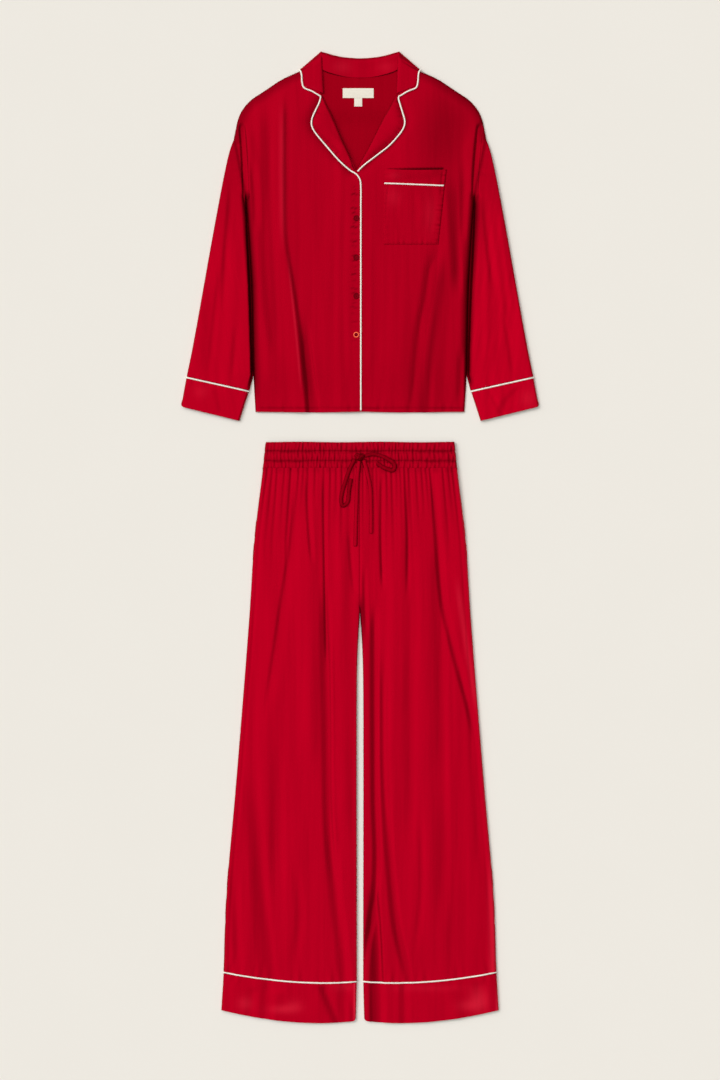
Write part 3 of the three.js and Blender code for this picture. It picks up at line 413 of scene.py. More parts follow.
# Broad folds, then the finer creases that lie on and beside them
SHIRT_FOLDS = [
    Fold([(-140, 810), (-141, 640), (-139, 540), (-132, 490), (-125, 449), (-109, 337), (-100, 226),
          (-97, 150)], 30, 11, 2.2, 60),
    Fold([(-166, 785), (-165, 640), (-168, 530), (-160, 420), (-148, 310)], 18, 16, -1.6, 60),
    Fold([(-99, 410), (-88, 310), (-77, 226), (-74, 150)], 24, 7, -3.6, 100),
    Fold([(-188, 430), (-180, 340), (-174, 270)], 14, 14, -1.4, 50),
    Fold([(-60, 600), (-54, 400), (-50, 240)], 34, 26, 1.1, 120),
    Fold([(-28, 620), (-32, 420), (-28, 260)], 14, 12, -0.6, 70),
    Fold([(-205, 750), (-190, 640)], 18, 18, 1.2, 40),
    Fold([(-213, 748), (-209, 705), (-206.5, 660), (-204.5, 600)], 8, 8, -5, 16),
    Fold([(-196, 690), (-189, 620), (-187, 540)], 10, 12, -1.4, 40),
    Fold([(165, 665), (170, 560), (177, 420)], 15, 11, -2, 60),
    Fold([(143, 540), (127, 426), (118, 382), (111, 318), (106, 226), (104, 150)], 25, 12, -3.6, 70),
    Fold([(152, 500), (141, 380), (134, 300), (131, 226), (130, 150)], 9, 20, 0.9, 60),
    Fold([(82, 480), (74, 380), (70, 240)], 34, 22, 0.9, 110),
    Fold([(182, 350), (182, 280), (179, 226)], 12, 9, -1.4, 40),
    Fold([(206, 745), (192, 625)], 18, 18, 1.2, 40),
    Fold([(217, 748), (212, 705), (208.5, 660), (206.5, 600)], 8, 8, -5, 16),
    Fold([(190, 690), (187, 610), (183, 520)], 12, 10, -1.2, 40),
    Fold([(84, 800), (88, 700), (92, 600)], 60, 110, 2.6, 60),
    Fold([(28, 560), (32, 400), (28, 260)], 14, 12, -0.5, 70),
]


def fold_height(folds, x, y):
    """Height of soft ridges, and of troughs where rise is negative, over each place."""
    total = np.zeros(np.shape(x))
    for fold in folds:
        path = soft(fold.path)
        path = path[np.argsort(path[:, 1])]
        away = x - np.interp(y, path[:, 1], path[:, 0])
        width = np.where(away < 0, fold.left, fold.right)
        bump = 0.5 + 0.5 * np.cos(pi * np.clip(np.abs(away) / width, 0, 1))
        low, high = path[0, 1], path[-1, 1]
        total += fold.rise * bump * ramp(low, low + fold.fade, y) * ramp(high, high - fold.fade, y)
    return total


def bell(away, width, power=2):
    """1 at no distance, dying away to both sides."""
    return np.exp(-(away / width) ** power)


def painted_highlight(highlights, x, y):
    """How much painted highlight the cloth gets from spots, at each place."""
    return sum(highlight.strength * bell(x - highlight.x, highlight.across) * bell(y - highlight.y, highlight.up) for highlight in highlights)


def ripples(x, y, seed, across=24, along=150):
    """Faint uneven waves that run down the cloth."""
    draw = np.random.default_rng(seed)
    total = np.zeros(np.shape(x))
    for _ in range(10):
        width = across * draw.uniform(0.5, 1.8)
        length = along * draw.uniform(0.4, 1.4)
        phase, drift, strength = draw.uniform(0, 2 * pi, 3)
        wave = np.sin(2 * pi * x / width + phase + 1.3 * np.sin(y / length + drift))
        total += width * wave * (0.5 + 0.5 * np.sin(y / length * 1.7 + x / 90 + strength))
    return total / (5 * across)


def puckers(line, x, y, spacing, reach, seed):
    """Small uneven waves across a seam, which die away beside it."""
    away, along = near_line(line, x, y)
    draw = np.random.default_rng(seed)
    waves = [np.sin(2 * pi * along / (spacing * stretch) + draw.uniform(0, 2 * pi))
             for stretch in (0.77, 1.0, 1.41)]
    return sum(waves) / 3 * bell(away, reach)


def front_lift(x, y):
    """The fronts rise with the back towards the collar."""
    return (COLLAR_LIFT + 0.1) * ramp(630, 785, y) * ramp(218, 120, np.abs(x))


def away_from(line, x, y):
    return near_line(line, x, y)[0]


def beside(line, x, y, reach, power=2):
    """1 on a line, dying away beside it."""
    return bell(away_from(line, x, y), reach, power)


SHIRT_HEM_STITCHES = [(-186, STITCH_Y), (186, STITCH_Y)]
PLACKET_LINE = [(-6, 240), (-6, 640)]
PLACKET_DARK_LINE = [(-10.5, 240), (-10.5, 640)]
ARMHOLE = [UNDERARM, SHOULDER_POINT]
RIGHT_LAPEL_EDGE = [(-17, 659), (-34, 675), (-57, 701), (-84, 732), (-89, 746), (-83, 765), (-72, 786)]
LEFT_LAPEL_EDGE = [(7, 665), (30.5, 687), (54, 705), (79, 735), (83, 748), (77, 768), (70, 788)]


def front_top(x, y):
    """The upper side of the fronts, which puffs up between the seams and is pressed down at them."""
    side = np.abs(x)
    edge = np.minimum.reduce([away_from(line, side, y) for line in FLAT_EDGES])
    calm = 0.4 + 0.6 * ramp(205, 300, y)
    near_neck = 1 - 0.8 * ramp(760, 800, y)
    fine = (
        0.3 * ripples(x, y, 3, 40, 240) * ramp(226, 300, y)
        + 0.35 * puckers(SHIRT_HEM_STITCHES, x, y, 17, 10, 5)
        + 0.5 * puckers(ARMHOLE, side, y, 15, 10, 6)
        + 0.75 * puckers(PLACKET_LINE, x, y, 8, 6, 7) * ramp(330, 500, y))
    puffed = PUFF * near_neck * calm + np.maximum(-2.3, fold_height(SHIRT_FOLDS, x, y) + fine)
    drawn_down = (1.8 * beside(RIGHT_LAPEL_EDGE, x, y, 11) + 1.2 * beside(LEFT_LAPEL_EDGE, x, y, 9)
                  + 0.5 * beside(SHIRT_HEM_STITCHES, x, y, 1.6))
    beside_sleeve = ramp(245, 330, y) * ramp(720, 640, y)
    turned = roll(edge, mix(3.0, 15.0, beside_sleeve)) * (SEAM_RISE + 2.2 * beside_sleeve)
    full = roll(edge, mix(7, 13, beside_sleeve)) * np.maximum(0.2, puffed)
    return ON_BACK + front_lift(x, y) + turned + full - drawn_down * roll(edge, 20)


# Painted shade in the valleys between the folds, and a painted highlight where rise is negative
SHIRT_SHADES = [
    Fold([(-104, 430), (-96, 320), (-87, 226), (-86, 150)], 13, 13, 0.62, 200),
    Fold([(-127, 510), (-110, 380), (-99, 242)], 6, 6, 0.16, 60),
    Fold([(-166, 780), (-165, 640), (-162, 540), (-148, 320)], 9, 9, 0.2, 80),
    Fold([(152, 850), (152, 740), (138, 600)], 76, 62, 0.25, 110),
    Fold([(153, 530), (147, 476), (127, 339), (115, 237), (112, 150)], 17, 16, 0.42, 80),
    Fold([(170, 665), (171, 560), (175, 430)], 11, 10, 0.42, 60),
    Fold([(-131, 520), (-114, 360), (-104, 250)], 4, 4, -0.24, 60),
    Fold([(-141, 800), (-140, 600), (-138, 500)], 9, 9, -0.16, 90),
]
POCKET_MOUTH = [(50, 660), (96, 661.5), (148, 662.5)]


def front_shade(x, y):
    """Painted shade beside the sleeves, on armholes, shoulders, lapels, pocket mouth, placket, hem and
    folds.
    """
    side = np.abs(x)
    reach = np.where(x > 0, 7, 15)
    beside_sleeve = 0.85 * (1 - ramp(0, 1, away_from(BODY_SIDE, side, y) / reach)) * ramp(228, 300, y)
    armhole = 0.6 * beside(ARMHOLE, side, y, 3.5)
    shoulder = 0.42 * (1 - ramp(2, 20, away_from(SHOULDER, side, y)))
    right_lapel = 0.55 * beside(RIGHT_LAPEL_EDGE, x, y, 6)
    left_lapel = 0.3 * beside(LEFT_LAPEL_EDGE, x, y, 5)
    mouth = beside(POCKET_MOUTH, x, y, 2.6, 4)
    # Painted shade in the puckers beside the placket
    dimple_shade = np.clip(1.2 * puckers(PLACKET_DARK_LINE, x, y, 8.5, 6, 7) - 0.1, 0, 0.6)
    placket = np.where(x < -1, dimple_shade * ramp(300, 480, y), 0)
    hem = bell(y - STITCH_Y, 1.7) * (0.18 + 0.16 * np.sin(x / 13) * np.sin(x / 31 + 1))
    deep = np.maximum.reduce([
        beside_sleeve, armhole, shoulder, right_lapel, left_lapel, mouth, placket, hem])
    return deep + (1 - deep) * fold_height(SHIRT_SHADES, x, y)


def right_front_top(x, y):
    """The right front lies on the left one at the placket."""
    overlap = ramp(-PLACKET_HALF - 22, -PLACKET_HALF - 6, x) * ramp(720, 690, y)
    return front_top(x, y) + (WALL + SEAM) * overlap


def in_stretches(*stretches):
    """Shares in stretches, each with its start, its end and how many there are."""
    return np.concatenate([np.linspace(*stretch) for stretch in stretches])


def with_corner(line):
    """A smooth run with a corner at its third place."""
    return joined(soft(line[:3]), soft(line[2:]))


# Rows and columns lie closer together at the stitched hem, at the shoulder and at both sides
front_rows = in_stretches((0, 0.03, 12), (0.033, 0.985, 200), (0.988, 1, 5))
across_front = in_stretches((0, 0.05, 9), (0.056, 0.944, 82), (0.95, 1, 9))
right_hem = soft([(-SHIRT_HEM_HALF, SHIRT_HEM_Y), (-70, SHIRT_HEM_Y - 1), (-0.2, SHIRT_HEM_Y)])
x, y = panel(right_hem, soft(mirrored(SHOULDER)), side_and_armhole * [-1, 1], with_corner(RIGHT_OPENING),
             across_front, front_rows)
cloth_piece("shirt_front_right", x, y, right_front_top(x, y),
            shade=front_shade(x, y))

left_hem = soft([(-PLACKET_HALF, SHIRT_HEM_Y + 1), (70, SHIRT_HEM_Y - 1), (SHIRT_HEM_HALF, SHIRT_HEM_Y)])
x, y = panel(left_hem, soft(SHOULDER[::-1]), with_corner(LEFT_OPENING), side_and_armhole,
             across_front, front_rows)
cloth_piece("shirt_front_left", x, y, front_top(x, y),
            shade=front_shade(x, y))


def bead(mesh, place, turn, halves, segments, rings):
    """Adds a long bead to a mesh, from its middle, its turn and its half sizes."""
    size = Matrix.Diagonal((*(half * MM for half in halves), 1))
    bmesh.ops.create_uvsphere(mesh, u_segments=segments, v_segments=rings, radius=1,
                              matrix=Matrix.Translation(place) @ turn @ size)


def stitches(name, path, length=2.3, pitch=3.4, width=0.55):
    """A row of sewn stitches along a path in three directions."""
    at = run_of(path)
    whole = np.linalg.norm(np.diff(np.array(path, float), axis=0), axis=1).sum()
    count = int(whole / pitch)
    mesh = bmesh.new()
    for k in range(count):
        share = (k + 0.5) / count
        place = Vector(at(share)) * MM
        ahead = Vector(at(min(1, share + 0.002))) - Vector(at(max(0, share - 0.002)))
        turn = ahead.to_track_quat("X", "Z").to_matrix().to_4x4()
        bead(mesh, place, turn, (length / 2, width / 2, width / 2), 5, 4)
    finished(mesh, name, thread, None)


def over(line, top, lift=0.0, count=160):
    """A line laid on a cloth, with its height."""
    flat = run_of(line)(np.linspace(0, 1, count))
    return np.column_stack([flat, top(flat[:, 0], flat[:, 1]) + lift])


thread = satin("sewing_thread")
stitches("hem_stitches_right", over([(-184, STITCH_Y), (-3, STITCH_Y - 0.3)], right_front_top, 0.1))
stitches("hem_stitches_left", over([(5, STITCH_Y - 0.3), (184, STITCH_Y)], front_top, 0.1))

# Lapels
# The facings of the two fronts, turned back at the neck and pressed down. Each rolls softly at its fold and
# stands a little off the front at its piped edge.

# Rows up each lapel: where the fold is, and where the piped edge is
RIGHT_LAPEL = [
    ((-9, 661), (-12, 657.5)), ((-21, 690), (-34, 677.5)), ((-38, 726), (-56, 702.5)),
    ((-50, 753), (-81.5, 734)), ((-57, 769), (-84.5, 746)), ((-63, 783), (-78, 763)),
    ((-67.5, 794), (-69.5, 786)),
]
LEFT_LAPEL = [
    ((-6.5, 661), (-5.5, 659)), ((3, 678), (8, 670)), ((18, 704), (30.5, 690)), ((33.5, 733), (53, 708.5)),
    ((46, 757), (76.5, 737)), ((54, 772), (77.5, 748)), ((60, 785), (72, 768)), ((65.5, 795), (67, 788)),
]


def lapel(name, rows, ground):
    """A facing turned back along its fold, over the ground that it lies on."""
    folds = run_of(soft([fold for fold, _ in rows]))
    edges = run_of(soft([edge for _, edge in rows]))
    shares = np.linspace(0, 1, 70)
    u = in_stretches((-0.05, 0.2, 12), (0.23, 1, 26))[None, :, None]
    place = mix(folds(shares)[:, None], edges(shares)[:, None], u)
    x, y = place[..., 0], place[..., 1]
    width = np.linalg.norm(edges(shares) - folds(shares), axis=1)[:, None]
    from_fold = (u[..., 0] + 0.05) * width
    crown = 0.8 * np.sin(pi * np.clip(u[..., 0], 0, 1)) * np.minimum(1, width / 25)
    top = ground(x, y) - 0.9 + 2.6 * roll(from_fold, 4.5) + crown + 0.35 * ripples(x + y, y - x, 8, 18, 60)
    # Painted shade in the puckers along the piped edge
    dimple_shade = np.clip(0.55 * puckers([edge for _, edge in rows], x, y, 9, 6, 9), 0, 0.35)
    cloth_piece(name, x, y, top, shade=dimple_shade)


lapel("lapel_right", RIGHT_LAPEL, right_front_top)
lapel("lapel_left", LEFT_LAPEL, front_top)

# Collar
# One strip folded along the neck. Its stand rises from the neck seam, rolls over at the fold, and its fall
# lies on the fronts as two wings and passes over the shoulders to the underside of the back.

# Sections from the right front end to the middle of the back. Turn is 0 on the fronts and 1 on the back.
Section = namedtuple("Section", "seam fold edge turn")
COLLAR = [
    Section((-69.6, 800), (-65.5, 798), (-97.5, 811), 0),
    Section((-74, 815), (-66.5, 815), (-100.5, 820), 0),
    Section((-77.8, 832), (-67.4, 834), (-103, 831), 0),
    Section((-75, 853), (-68.6, 861.5), (-105, 838.5), 0),
    Section((-72.5, 858.5), (-70.9, 872.5), (-107.2, 841.6), 0.5),
    Section((-68.5, 846), (-66, 872.3), (-104.5, 838), 1),
    Section((-65.5, 840), (-47, 867), (-88, 815), 1),
    Section((-34.8, 830.2), (-27, 863.5), (-52, 801), 1),
    Section((0, 826.7), (0, 861.5), (0, 795), 1),
]


FOLD_REACH = 2.6  # from the fold to where the cloth runs straight
TURN_SCALE = 20  # a row's turn is kept with its places, so it is scaled to their size


def unit(vector):
    return vector / np.linalg.norm(vector)


def collar_section(seam, fold, edge, turn, shares):
    """The line of the cloth from the neck seam over the fold to the outer edge."""
    def leaf(place):
        return mix(front_top(*place) + 1.25, 0.45, turn)

    def inside(place):
        stand = COLLAR_LIFT + 0.8 + 2.2 * ramp(14, 62, np.abs(place[0]))
        return mix(front_top(*place) - 0.2, stand, turn)
    crest = (inside(fold) + leaf(fold)) / 2
    near_seam = fold + unit(seam - fold) * FOLD_REACH
    near_edge = fold + unit(edge - fold) * FOLD_REACH
    points = [
        (*seam, inside(seam)), (*mix(seam, near_seam, 0.5), inside(mix(seam, near_seam, 0.5))),
        (*near_seam, inside(fold)), (*fold, crest), (*near_edge, leaf(fold)),
        (*mix(near_edge, edge, 0.5), leaf(mix(near_edge, edge, 0.5))), (*edge, leaf(edge)),
    ]
    return run_of(soft(points))(shares)


def collar_row(row, shares):
    return collar_section(row[0:2], row[2:4], row[4:6], np.clip(row[6] / TURN_SCALE, 0, 1), shares)


# Painted highlights on the back of the collar and on its right wing
COLLAR_HIGHLIGHTS = [Highlight(-32, 846, 17, 12, 0.15), Highlight(46, 846, 15, 11, 0.12), Highlight(-84, 800, 8, 8, 0.08)]
right_half = [np.array([*row.seam, *row.fold, *row.edge, row.turn * TURN_SCALE], float) for row in COLLAR]
left_half = [row * [-1, 1, -1, 1, -1, 1, 1] for row in right_half[-2::-1]]
rows = run_of(soft(right_half + left_half, 16))(np.linspace(0, 1, 190))
lattice = np.array([collar_row(row, np.linspace(0, 1, 56)) for row in rows])
lattice[..., 2] = np.maximum(lattice[..., 2], RESTING)
collar_mesh = moved_grid(lattice, shade=-painted_highlight(COLLAR_HIGHLIGHTS, lattice[..., 0], lattice[..., 1]))
collar = finished(collar_mesh, "collar_cloth", body_satin, "collar", wall=CLOTH)

# Neck label and size tab
# Two small woven ribbons sewn inside the back of the neck, both blank.

LABEL_CREAM = (0.86, 0.80, 0.69, 1)
LABEL_WARM = (0.76, 0.69, 0.57, 1)
ribbon = Finish("woven_ribbon")
weave = ribbon.noise(ribbon.place((1500, 900, 900)), 2)
ribbon.set(Base_Color=ribbon.blend(weave, LABEL_CREAM, LABEL_WARM), Roughness=0.62,
           Normal=ribbon.relief(weave, 0.0003))


def label(name, x0, x1, y0, y1, lift):
    """A small ribbon on the back of the neck, which bows up a little in its middle."""
    x, y = np.meshgrid(np.linspace(x0, x1, 30), np.linspace(y0, y1, 24))
    middle = 1 - np.abs((x - (x0 + x1) / 2) / (x1 - x0) * 2) ** 4
    top = back_top(x, y) + lift + 0.35 * middle * np.sin(pi * (y - y0) / (y1 - y0))
    cloth_piece(name, x, y, top, ribbon.material, 0.35)


label("size_tab", -10.3, 3.8, 775, 790.5, 0.5)
label("neck_label", -31, 24.5, 790.2, 807.7, 1.0)

# Pocket
# A patch pocket on the left front, with a deep band above its piping. The band stands open a little, and
# the pocket is edge-stitched down its sides and along its foot.

POCKET_LEFT, POCKET_LOW, POCKET_SEAM, POCKET_TOP = 42.7, 527, 632, 661
POCKET_RIGHT_LOW, POCKET_RIGHT_TOP = 141, 156


def pocket_right(y):
    return mix(POCKET_RIGHT_LOW, POCKET_RIGHT_TOP, (y - POCKET_LOW) / (POCKET_TOP - POCKET_LOW))


def seam_climb(x):
    """The seam of the pocket climbs a little towards the placket."""
    return 4.3 * np.clip((150 - x) / 107, 0, 1)


def pocket_ground(x, y):
    """The pocket bridges the creases of the front that it is sewn to."""
    return np.maximum.reduce([front_top(x + step, y) for step in (-12, -6, 0, 6, 12)])


POCKET_PUCKERS = [
    Fold([(52, 640), (47, 596), (46, 560)], 4, 5, -0.32, 12),
    Fold([(70, 632), (66, 590), (72, 540)], 9, 8, -0.32, 25),
    Fold([(104, 634), (110, 590), (106, 545)], 10, 12, 0.41, 25),
    Fold([(128, 655), (133, 600), (126, 535)], 8, 7, -0.36, 25),
    Fold([(150, 664), (147, 636), (146, 610)], 4, 4, -0.5, 12),
]
# Painted highlights on the pocket
POCKET_HIGHLIGHTS = [Highlight(60, 612, 13, 16, 0.12), Highlight(126, 580, 12, 30, 0.10), Highlight(62, 650, 12, 6, 0.10)]


def three_sides(left, low, right_low, right_top, top):
    """The left side, the right side and the foot of a pocket's outline."""
    foot = [(left, low), (right_low, low)]
    return [[(left, low), (left, top)], [(right_low, low), (right_top, top)], foot]


POCKET_SEAMS = three_sides(POCKET_LEFT, POCKET_LOW, POCKET_RIGHT_LOW, POCKET_RIGHT_TOP, POCKET_TOP)
POCKET_STITCHES = three_sides(POCKET_LEFT + 2, POCKET_LOW + 2, POCKET_RIGHT_LOW - 2, 153.6, POCKET_TOP - 1)


def pocket_part(name, y0, y1, opening, rows):
    """A part of the pocket between two levels, sewn down at its sides and foot."""
    u, v = np.meshgrid(np.linspace(0, 1, 80), np.linspace(0, 1, rows))
    y = mix(y0, y1, v)
    x = mix(POCKET_LEFT, pocket_right(y), u)
    climb = seam_climb(x) * ramp(POCKET_LOW, POCKET_SEAM, y) * ramp(POCKET_TOP + 12, POCKET_SEAM, y)
    y = y + climb - 1.6 * np.sin(pi * u) * ramp(POCKET_TOP - 6, POCKET_TOP, y)
    edge = np.minimum(x - POCKET_LEFT, pocket_right(y) - x)
    small = sum(0.30 * puckers(line, x, y, 11, 9, 20 + k) for k, line in enumerate(POCKET_SEAMS))
    drawn_down = sum(0.25 * beside(line, x, y, 1.3) for line in POCKET_STITCHES)
    creased = fold_height(POCKET_PUCKERS, x, y) * roll(edge, 8)
    height = pocket_ground(x, y) + SEAM + opening(x, y) + 0.9 * roll(edge, 3) + small - drawn_down + creased
    # Painted shade in the puckers of the right side and along the part's lower edge, less the painted
    # highlights
    pucker_shade = np.clip(0.5 * puckers(POCKET_SEAMS[1], x, y, 9, 7, 24), 0, 0.4) + 0.25 * bell(y - y0, 1.5)
    cloth_piece(name, x, y, height,
                shade=pucker_shade - painted_highlight(POCKET_HIGHLIGHTS, x, y))


def bag_open(x, y):
    return 0.2 * ramp(540, 600, y)


def band_open(x, y):
    return 0.2 + 1.6 * ramp(640, 661, y) * ramp(44, 66, x) * ramp(150, 124, x)


pocket_part("pocket", POCKET_LOW, POCKET_SEAM - 1.2, bag_open, 90)
pocket_part("pocket_band", POCKET_SEAM + 1.2, POCKET_TOP, band_open, 40)


def on_pocket(x, y):
    return pocket_ground(x, y) + 1.15


for name, line in zip(("left", "right", "foot"), POCKET_STITCHES):
    stitches("pocket_stitches_" + name, over(line, on_pocket), pitch=3.0, length=2.1)

# Piping
# Cream satin cut on the bias round a cord, sewn into the edges of the lapels, collar, placket, pocket,
# cuffs and hems. It is round where it lies on one side and pressed flatter where it runs round a tube.

PIPING = 2.9
PIPING_CREAM = (0.93, 0.88, 0.78, 1)
PIPING_SHADE = (0.86, 0.79, 0.68, 1)
cream = Finish("piping_satin")
twist = cream.noise(cream.place((900, 900, 900)), 2)
slub = cream.noise(cream.place((150, 150, 150)), 2)
cream.set(Base_Color=cream.blend(twist * 0.4 + slub * 0.6, PIPING_CREAM, PIPING_SHADE), Roughness=0.46,
          Sheen_Weight=0.15, Normal=cream.relief(twist * 0.3 + slub * 0.7, 0.0005))


def cord_mesh(path, width, height, side=None, closed=False, around=12, ends=4, outline=0.0):
    """A cord along places, as wide and as high as given, with round ends unless it is closed."""
    path = np.array(path, float)
    if closed:
        tangent = np.roll(path, -1, axis=0) - np.roll(path, 1, axis=0)
    else:
        tangent = np.gradient(path, axis=0)
    tangent /= np.linalg.norm(tangent, axis=1)[:, None]
    if side is None:
        side = np.cross(tangent, [0, 0, 1])
    else:
        side = np.tile(side, (len(path), 1))
    side /= np.linalg.norm(side, axis=1)[:, None]
    upward = np.cross(side, tangent)
    upward /= np.linalg.norm(upward, axis=1)[:, None]
    size = np.ones(len(path))
    if not closed:
        for k in range(ends + 1):
            size[k] = size[-1 - k] = np.sin(pi / 2 * k / ends) if k < ends else 1
    angles = np.linspace(0, 2 * pi, around + 1)
    sideways = np.outer(size, np.cos(angles) * width / 2)[..., None] * side[:, None]
    upwards = np.outer(size, np.sin(angles) * height / 2)[..., None] * upward[:, None]
    lattice = path[:, None] + sideways + upwards
    if closed:
        lattice = np.concatenate([lattice, lattice[:1]])
    # Painted shade along the cord's two long sides, as strong as outline
    shade = np.tile(outline * np.abs(np.cos(angles)) ** 3, (len(lattice), 1))
    mesh = moved_grid(lattice, False, shade)
    welded(mesh)
    turned_out(mesh)
    return mesh


def with_ends(path, count, radius):
    """Shares along a path that gather at its two ends, so that the ends come out round."""
    whole = np.linalg.norm(np.diff(path, axis=0), axis=1).sum()
    tip = [radius / whole * (1 - np.cos(pi / 2 * k / 4)) for k in range(5)]
    shares = np.concatenate([tip, np.linspace(tip[-1], 1 - tip[-1], count)[1:-1], 1 - np.array(tip[::-1])])
    return run_of(path)(shares)


def piping(name, points, count):
    """A round piping through points, kept off the table."""
    path = soft(points)
    path[:, 2] = np.maximum(path[:, 2], PIPING / 2)
    finished(cord_mesh(with_ends(path, count, PIPING / 2), PIPING, PIPING), name + "_cord", cream.material,
             name)


def raised(points, top, lift):
    """Points at a height over a cloth."""
    return [(x, y, float(top(x, y)) + lift) for x, y in points]


placket_run = [(1.6, y) for y in range(228, 620, 28)] + [(1.5, 632)]
right_lapel_run = [(-6, 652), (-17, 659), (-36, 675.5), (-57.5, 700), (-83, 731.5), (-87, 742), (-86, 753),
                   (-80, 767), (-73.5, 781), (-70.9, 791), (-71.8, 794.6)]
left_lapel_run = [(-4.5, 657.5), (6, 668), (31, 687.3), (54, 705.5), (77.5, 734), (80.5, 746), (76.5, 763),
                  (70.5, 783), (69.2, 790), (71, 794.6)]
pocket_run = [(x, POCKET_SEAM + seam_climb(x)) for x in np.linspace(43.4, 151, 12)]
front_run = (raised(placket_run, front_top, 2.3) + raised([(0.2, 642)], right_front_top, 1.4)
             + raised(right_lapel_run, right_front_top, 2.1))
piping("piping_front", front_run, 320)
piping("piping_lapel_left", raised(left_lapel_run, front_top, 2.1), 130)
piping("piping_pocket", raised(pocket_run, pocket_ground, 2.0), 90)


def collar_piping_run():
    """Just outside the collar's edge, from its point on one side to its point on the other."""
    sections = []
    for row in right_half:
        inner, edge = collar_row(row, np.array([0.9, 1.0]))
        x, y = edge[:2] + unit((edge - inner)[:2]) * 1.9
        sections.append((x, y, mix(edge[2] + 0.8, max(edge[2], PIPING / 2 + 0.3), row[6] / TURN_SCALE)))
    sections[0] = (-101, 808.5, sections[0][2])
    sections[1] = (-104, 818, sections[1][2])
    run = raised([(-71.5, 793), (-86, 801.5)], front_top, 2.4) + sections
    return run + [(-x, y, z) for x, y, z in run[-2::-1]]


piping("piping_collar", collar_piping_run(), 380)

# Buttons
# Four round buttons of dyed resin down the placket, each dished, with four holes and a cross of thread.
# The lowest has a paler ring.

BUTTON_X = -6.8
BUTTON_YS = [573.7, 503.1, 434.0, 364.1]
BUTTON_RADIUS = 5.25
BUTTON_RED = (0.22, 0.0, 0.006, 1)
BUTTON_DARK = (0.14, 0.0, 0.004, 1)
PALE_RING = (1.0, 0.17, 0.08, 1)
PALE_RING_DEEP = (0.9, 0.10, 0.05, 1)
RING_RADIUS = 4.15
HOLE_RADIUS = 0.62
HOLE_OUT = 1.45  # from the button's middle


def resin(name, first, second):
    finish = Finish(name)
    cloud = finish.noise(finish.place((260, 260, 260)), 3)
    finish.set(Base_Color=finish.blend(cloud, first, second), Roughness=0.4 + cloud * 0.1,
               Specular_IOR_Level=0.02, Normal=finish.relief(cloud, 0.0001))
    return finish.material


button_resin = resin("button_resin", BUTTON_RED, BUTTON_DARK)
pale_resin = resin("button_ring_resin", PALE_RING, PALE_RING_DEEP)
# From the middle underneath round to the middle on top: radius as a share of the button's, and height
BUTTON_PROFILE = [(0, 0), (0.70, 0), (0.92, 0.25), (1, 0.75), (1, 1.3), (0.94, 1.8), (0.84, 2.0),
                  (0.74, 1.85), (0.64, 1.4), (0.5, 1.25), (0, 1.2)]


def button_mesh(x, y, z):
    mesh = bmesh.new()
    verts = [mesh.verts.new((r * BUTTON_RADIUS * MM, 0, h * MM)) for r, h in BUTTON_PROFILE]
    edges = [mesh.edges.new(pair) for pair in zip(verts[:-1], verts[1:])]
    bmesh.ops.spin(mesh, geom=verts + edges, axis=(0, 0, 1), angle=2 * pi, steps=40, use_merge=True,
                   use_duplicate=False)
    welded(mesh)
    turned_out(mesh)
    bmesh.ops.translate(mesh, verts=mesh.verts, vec=Vector((x, y, z)) * MM)
    return mesh


def pierced(button, x, y, z):
    """Cuts the four holes through a button."""
    cutter_mesh = bmesh.new()
    for turn in range(4):
        angle = pi / 4 + turn * pi / 2
        spot = Vector((x + HOLE_OUT * np.cos(angle), y + HOLE_OUT * np.sin(angle), z + 1)) * MM
        bmesh.ops.create_cone(cutter_mesh, cap_ends=True, segments=12, radius1=HOLE_RADIUS * MM,
                              radius2=HOLE_RADIUS * MM, depth=6 * MM, matrix=Matrix.Translation(spot))
    cutter = object_of(cutter_mesh, "cutter")
    cut = button.modifiers.new("holes", "BOOLEAN")
    cut.operation = "DIFFERENCE"
    cut.object = cutter
    cut.solver = "EXACT"
    applied(button)
    bpy.data.objects.remove(cutter)


for number, y in enumerate(BUTTON_YS, 1):
    reach = [right_front_top(np.array(BUTTON_X + i * BUTTON_RADIUS), np.array(y + j * BUTTON_RADIUS))
             for i in (-1, 0, 1) for j in (-1, 0, 1)]
    z = float(max(reach)) + 0.15
    button = finished(button_mesh(BUTTON_X, y, z), f"button_{number}_disc", button_resin,
                      f"button_{number}", 35)
    pierced(button, BUTTON_X, y, z)
    cross = bmesh.new()
    for turn in (pi / 4, 3 * pi / 4):
        place = Vector((BUTTON_X, y, z + 1.45)) * MM
        bead(cross, place, Matrix.Rotation(turn, 4, "Z"), (1.9, 0.42, 0.38), 8, 6)
    finished(cross, f"button_{number}_thread", thread, None)
    if number == len(BUTTON_YS):
        angles = np.linspace(0, 2 * pi, 40, endpoint=False)
        ring = cord_mesh([(BUTTON_X + RING_RADIUS * np.cos(a), y + RING_RADIUS * np.sin(a), z + 1.75)
                          for a in angles], 2.0, 1.0, closed=True, around=8)
        finished(ring, f"button_{number}_ring", pale_resin, None)

# Sleeves and cuffs
# Each sleeve is a tube lying flat beside the body, sewn in at the armhole. Its cuff is a deep turned-up band
# with piping at its upper edge.

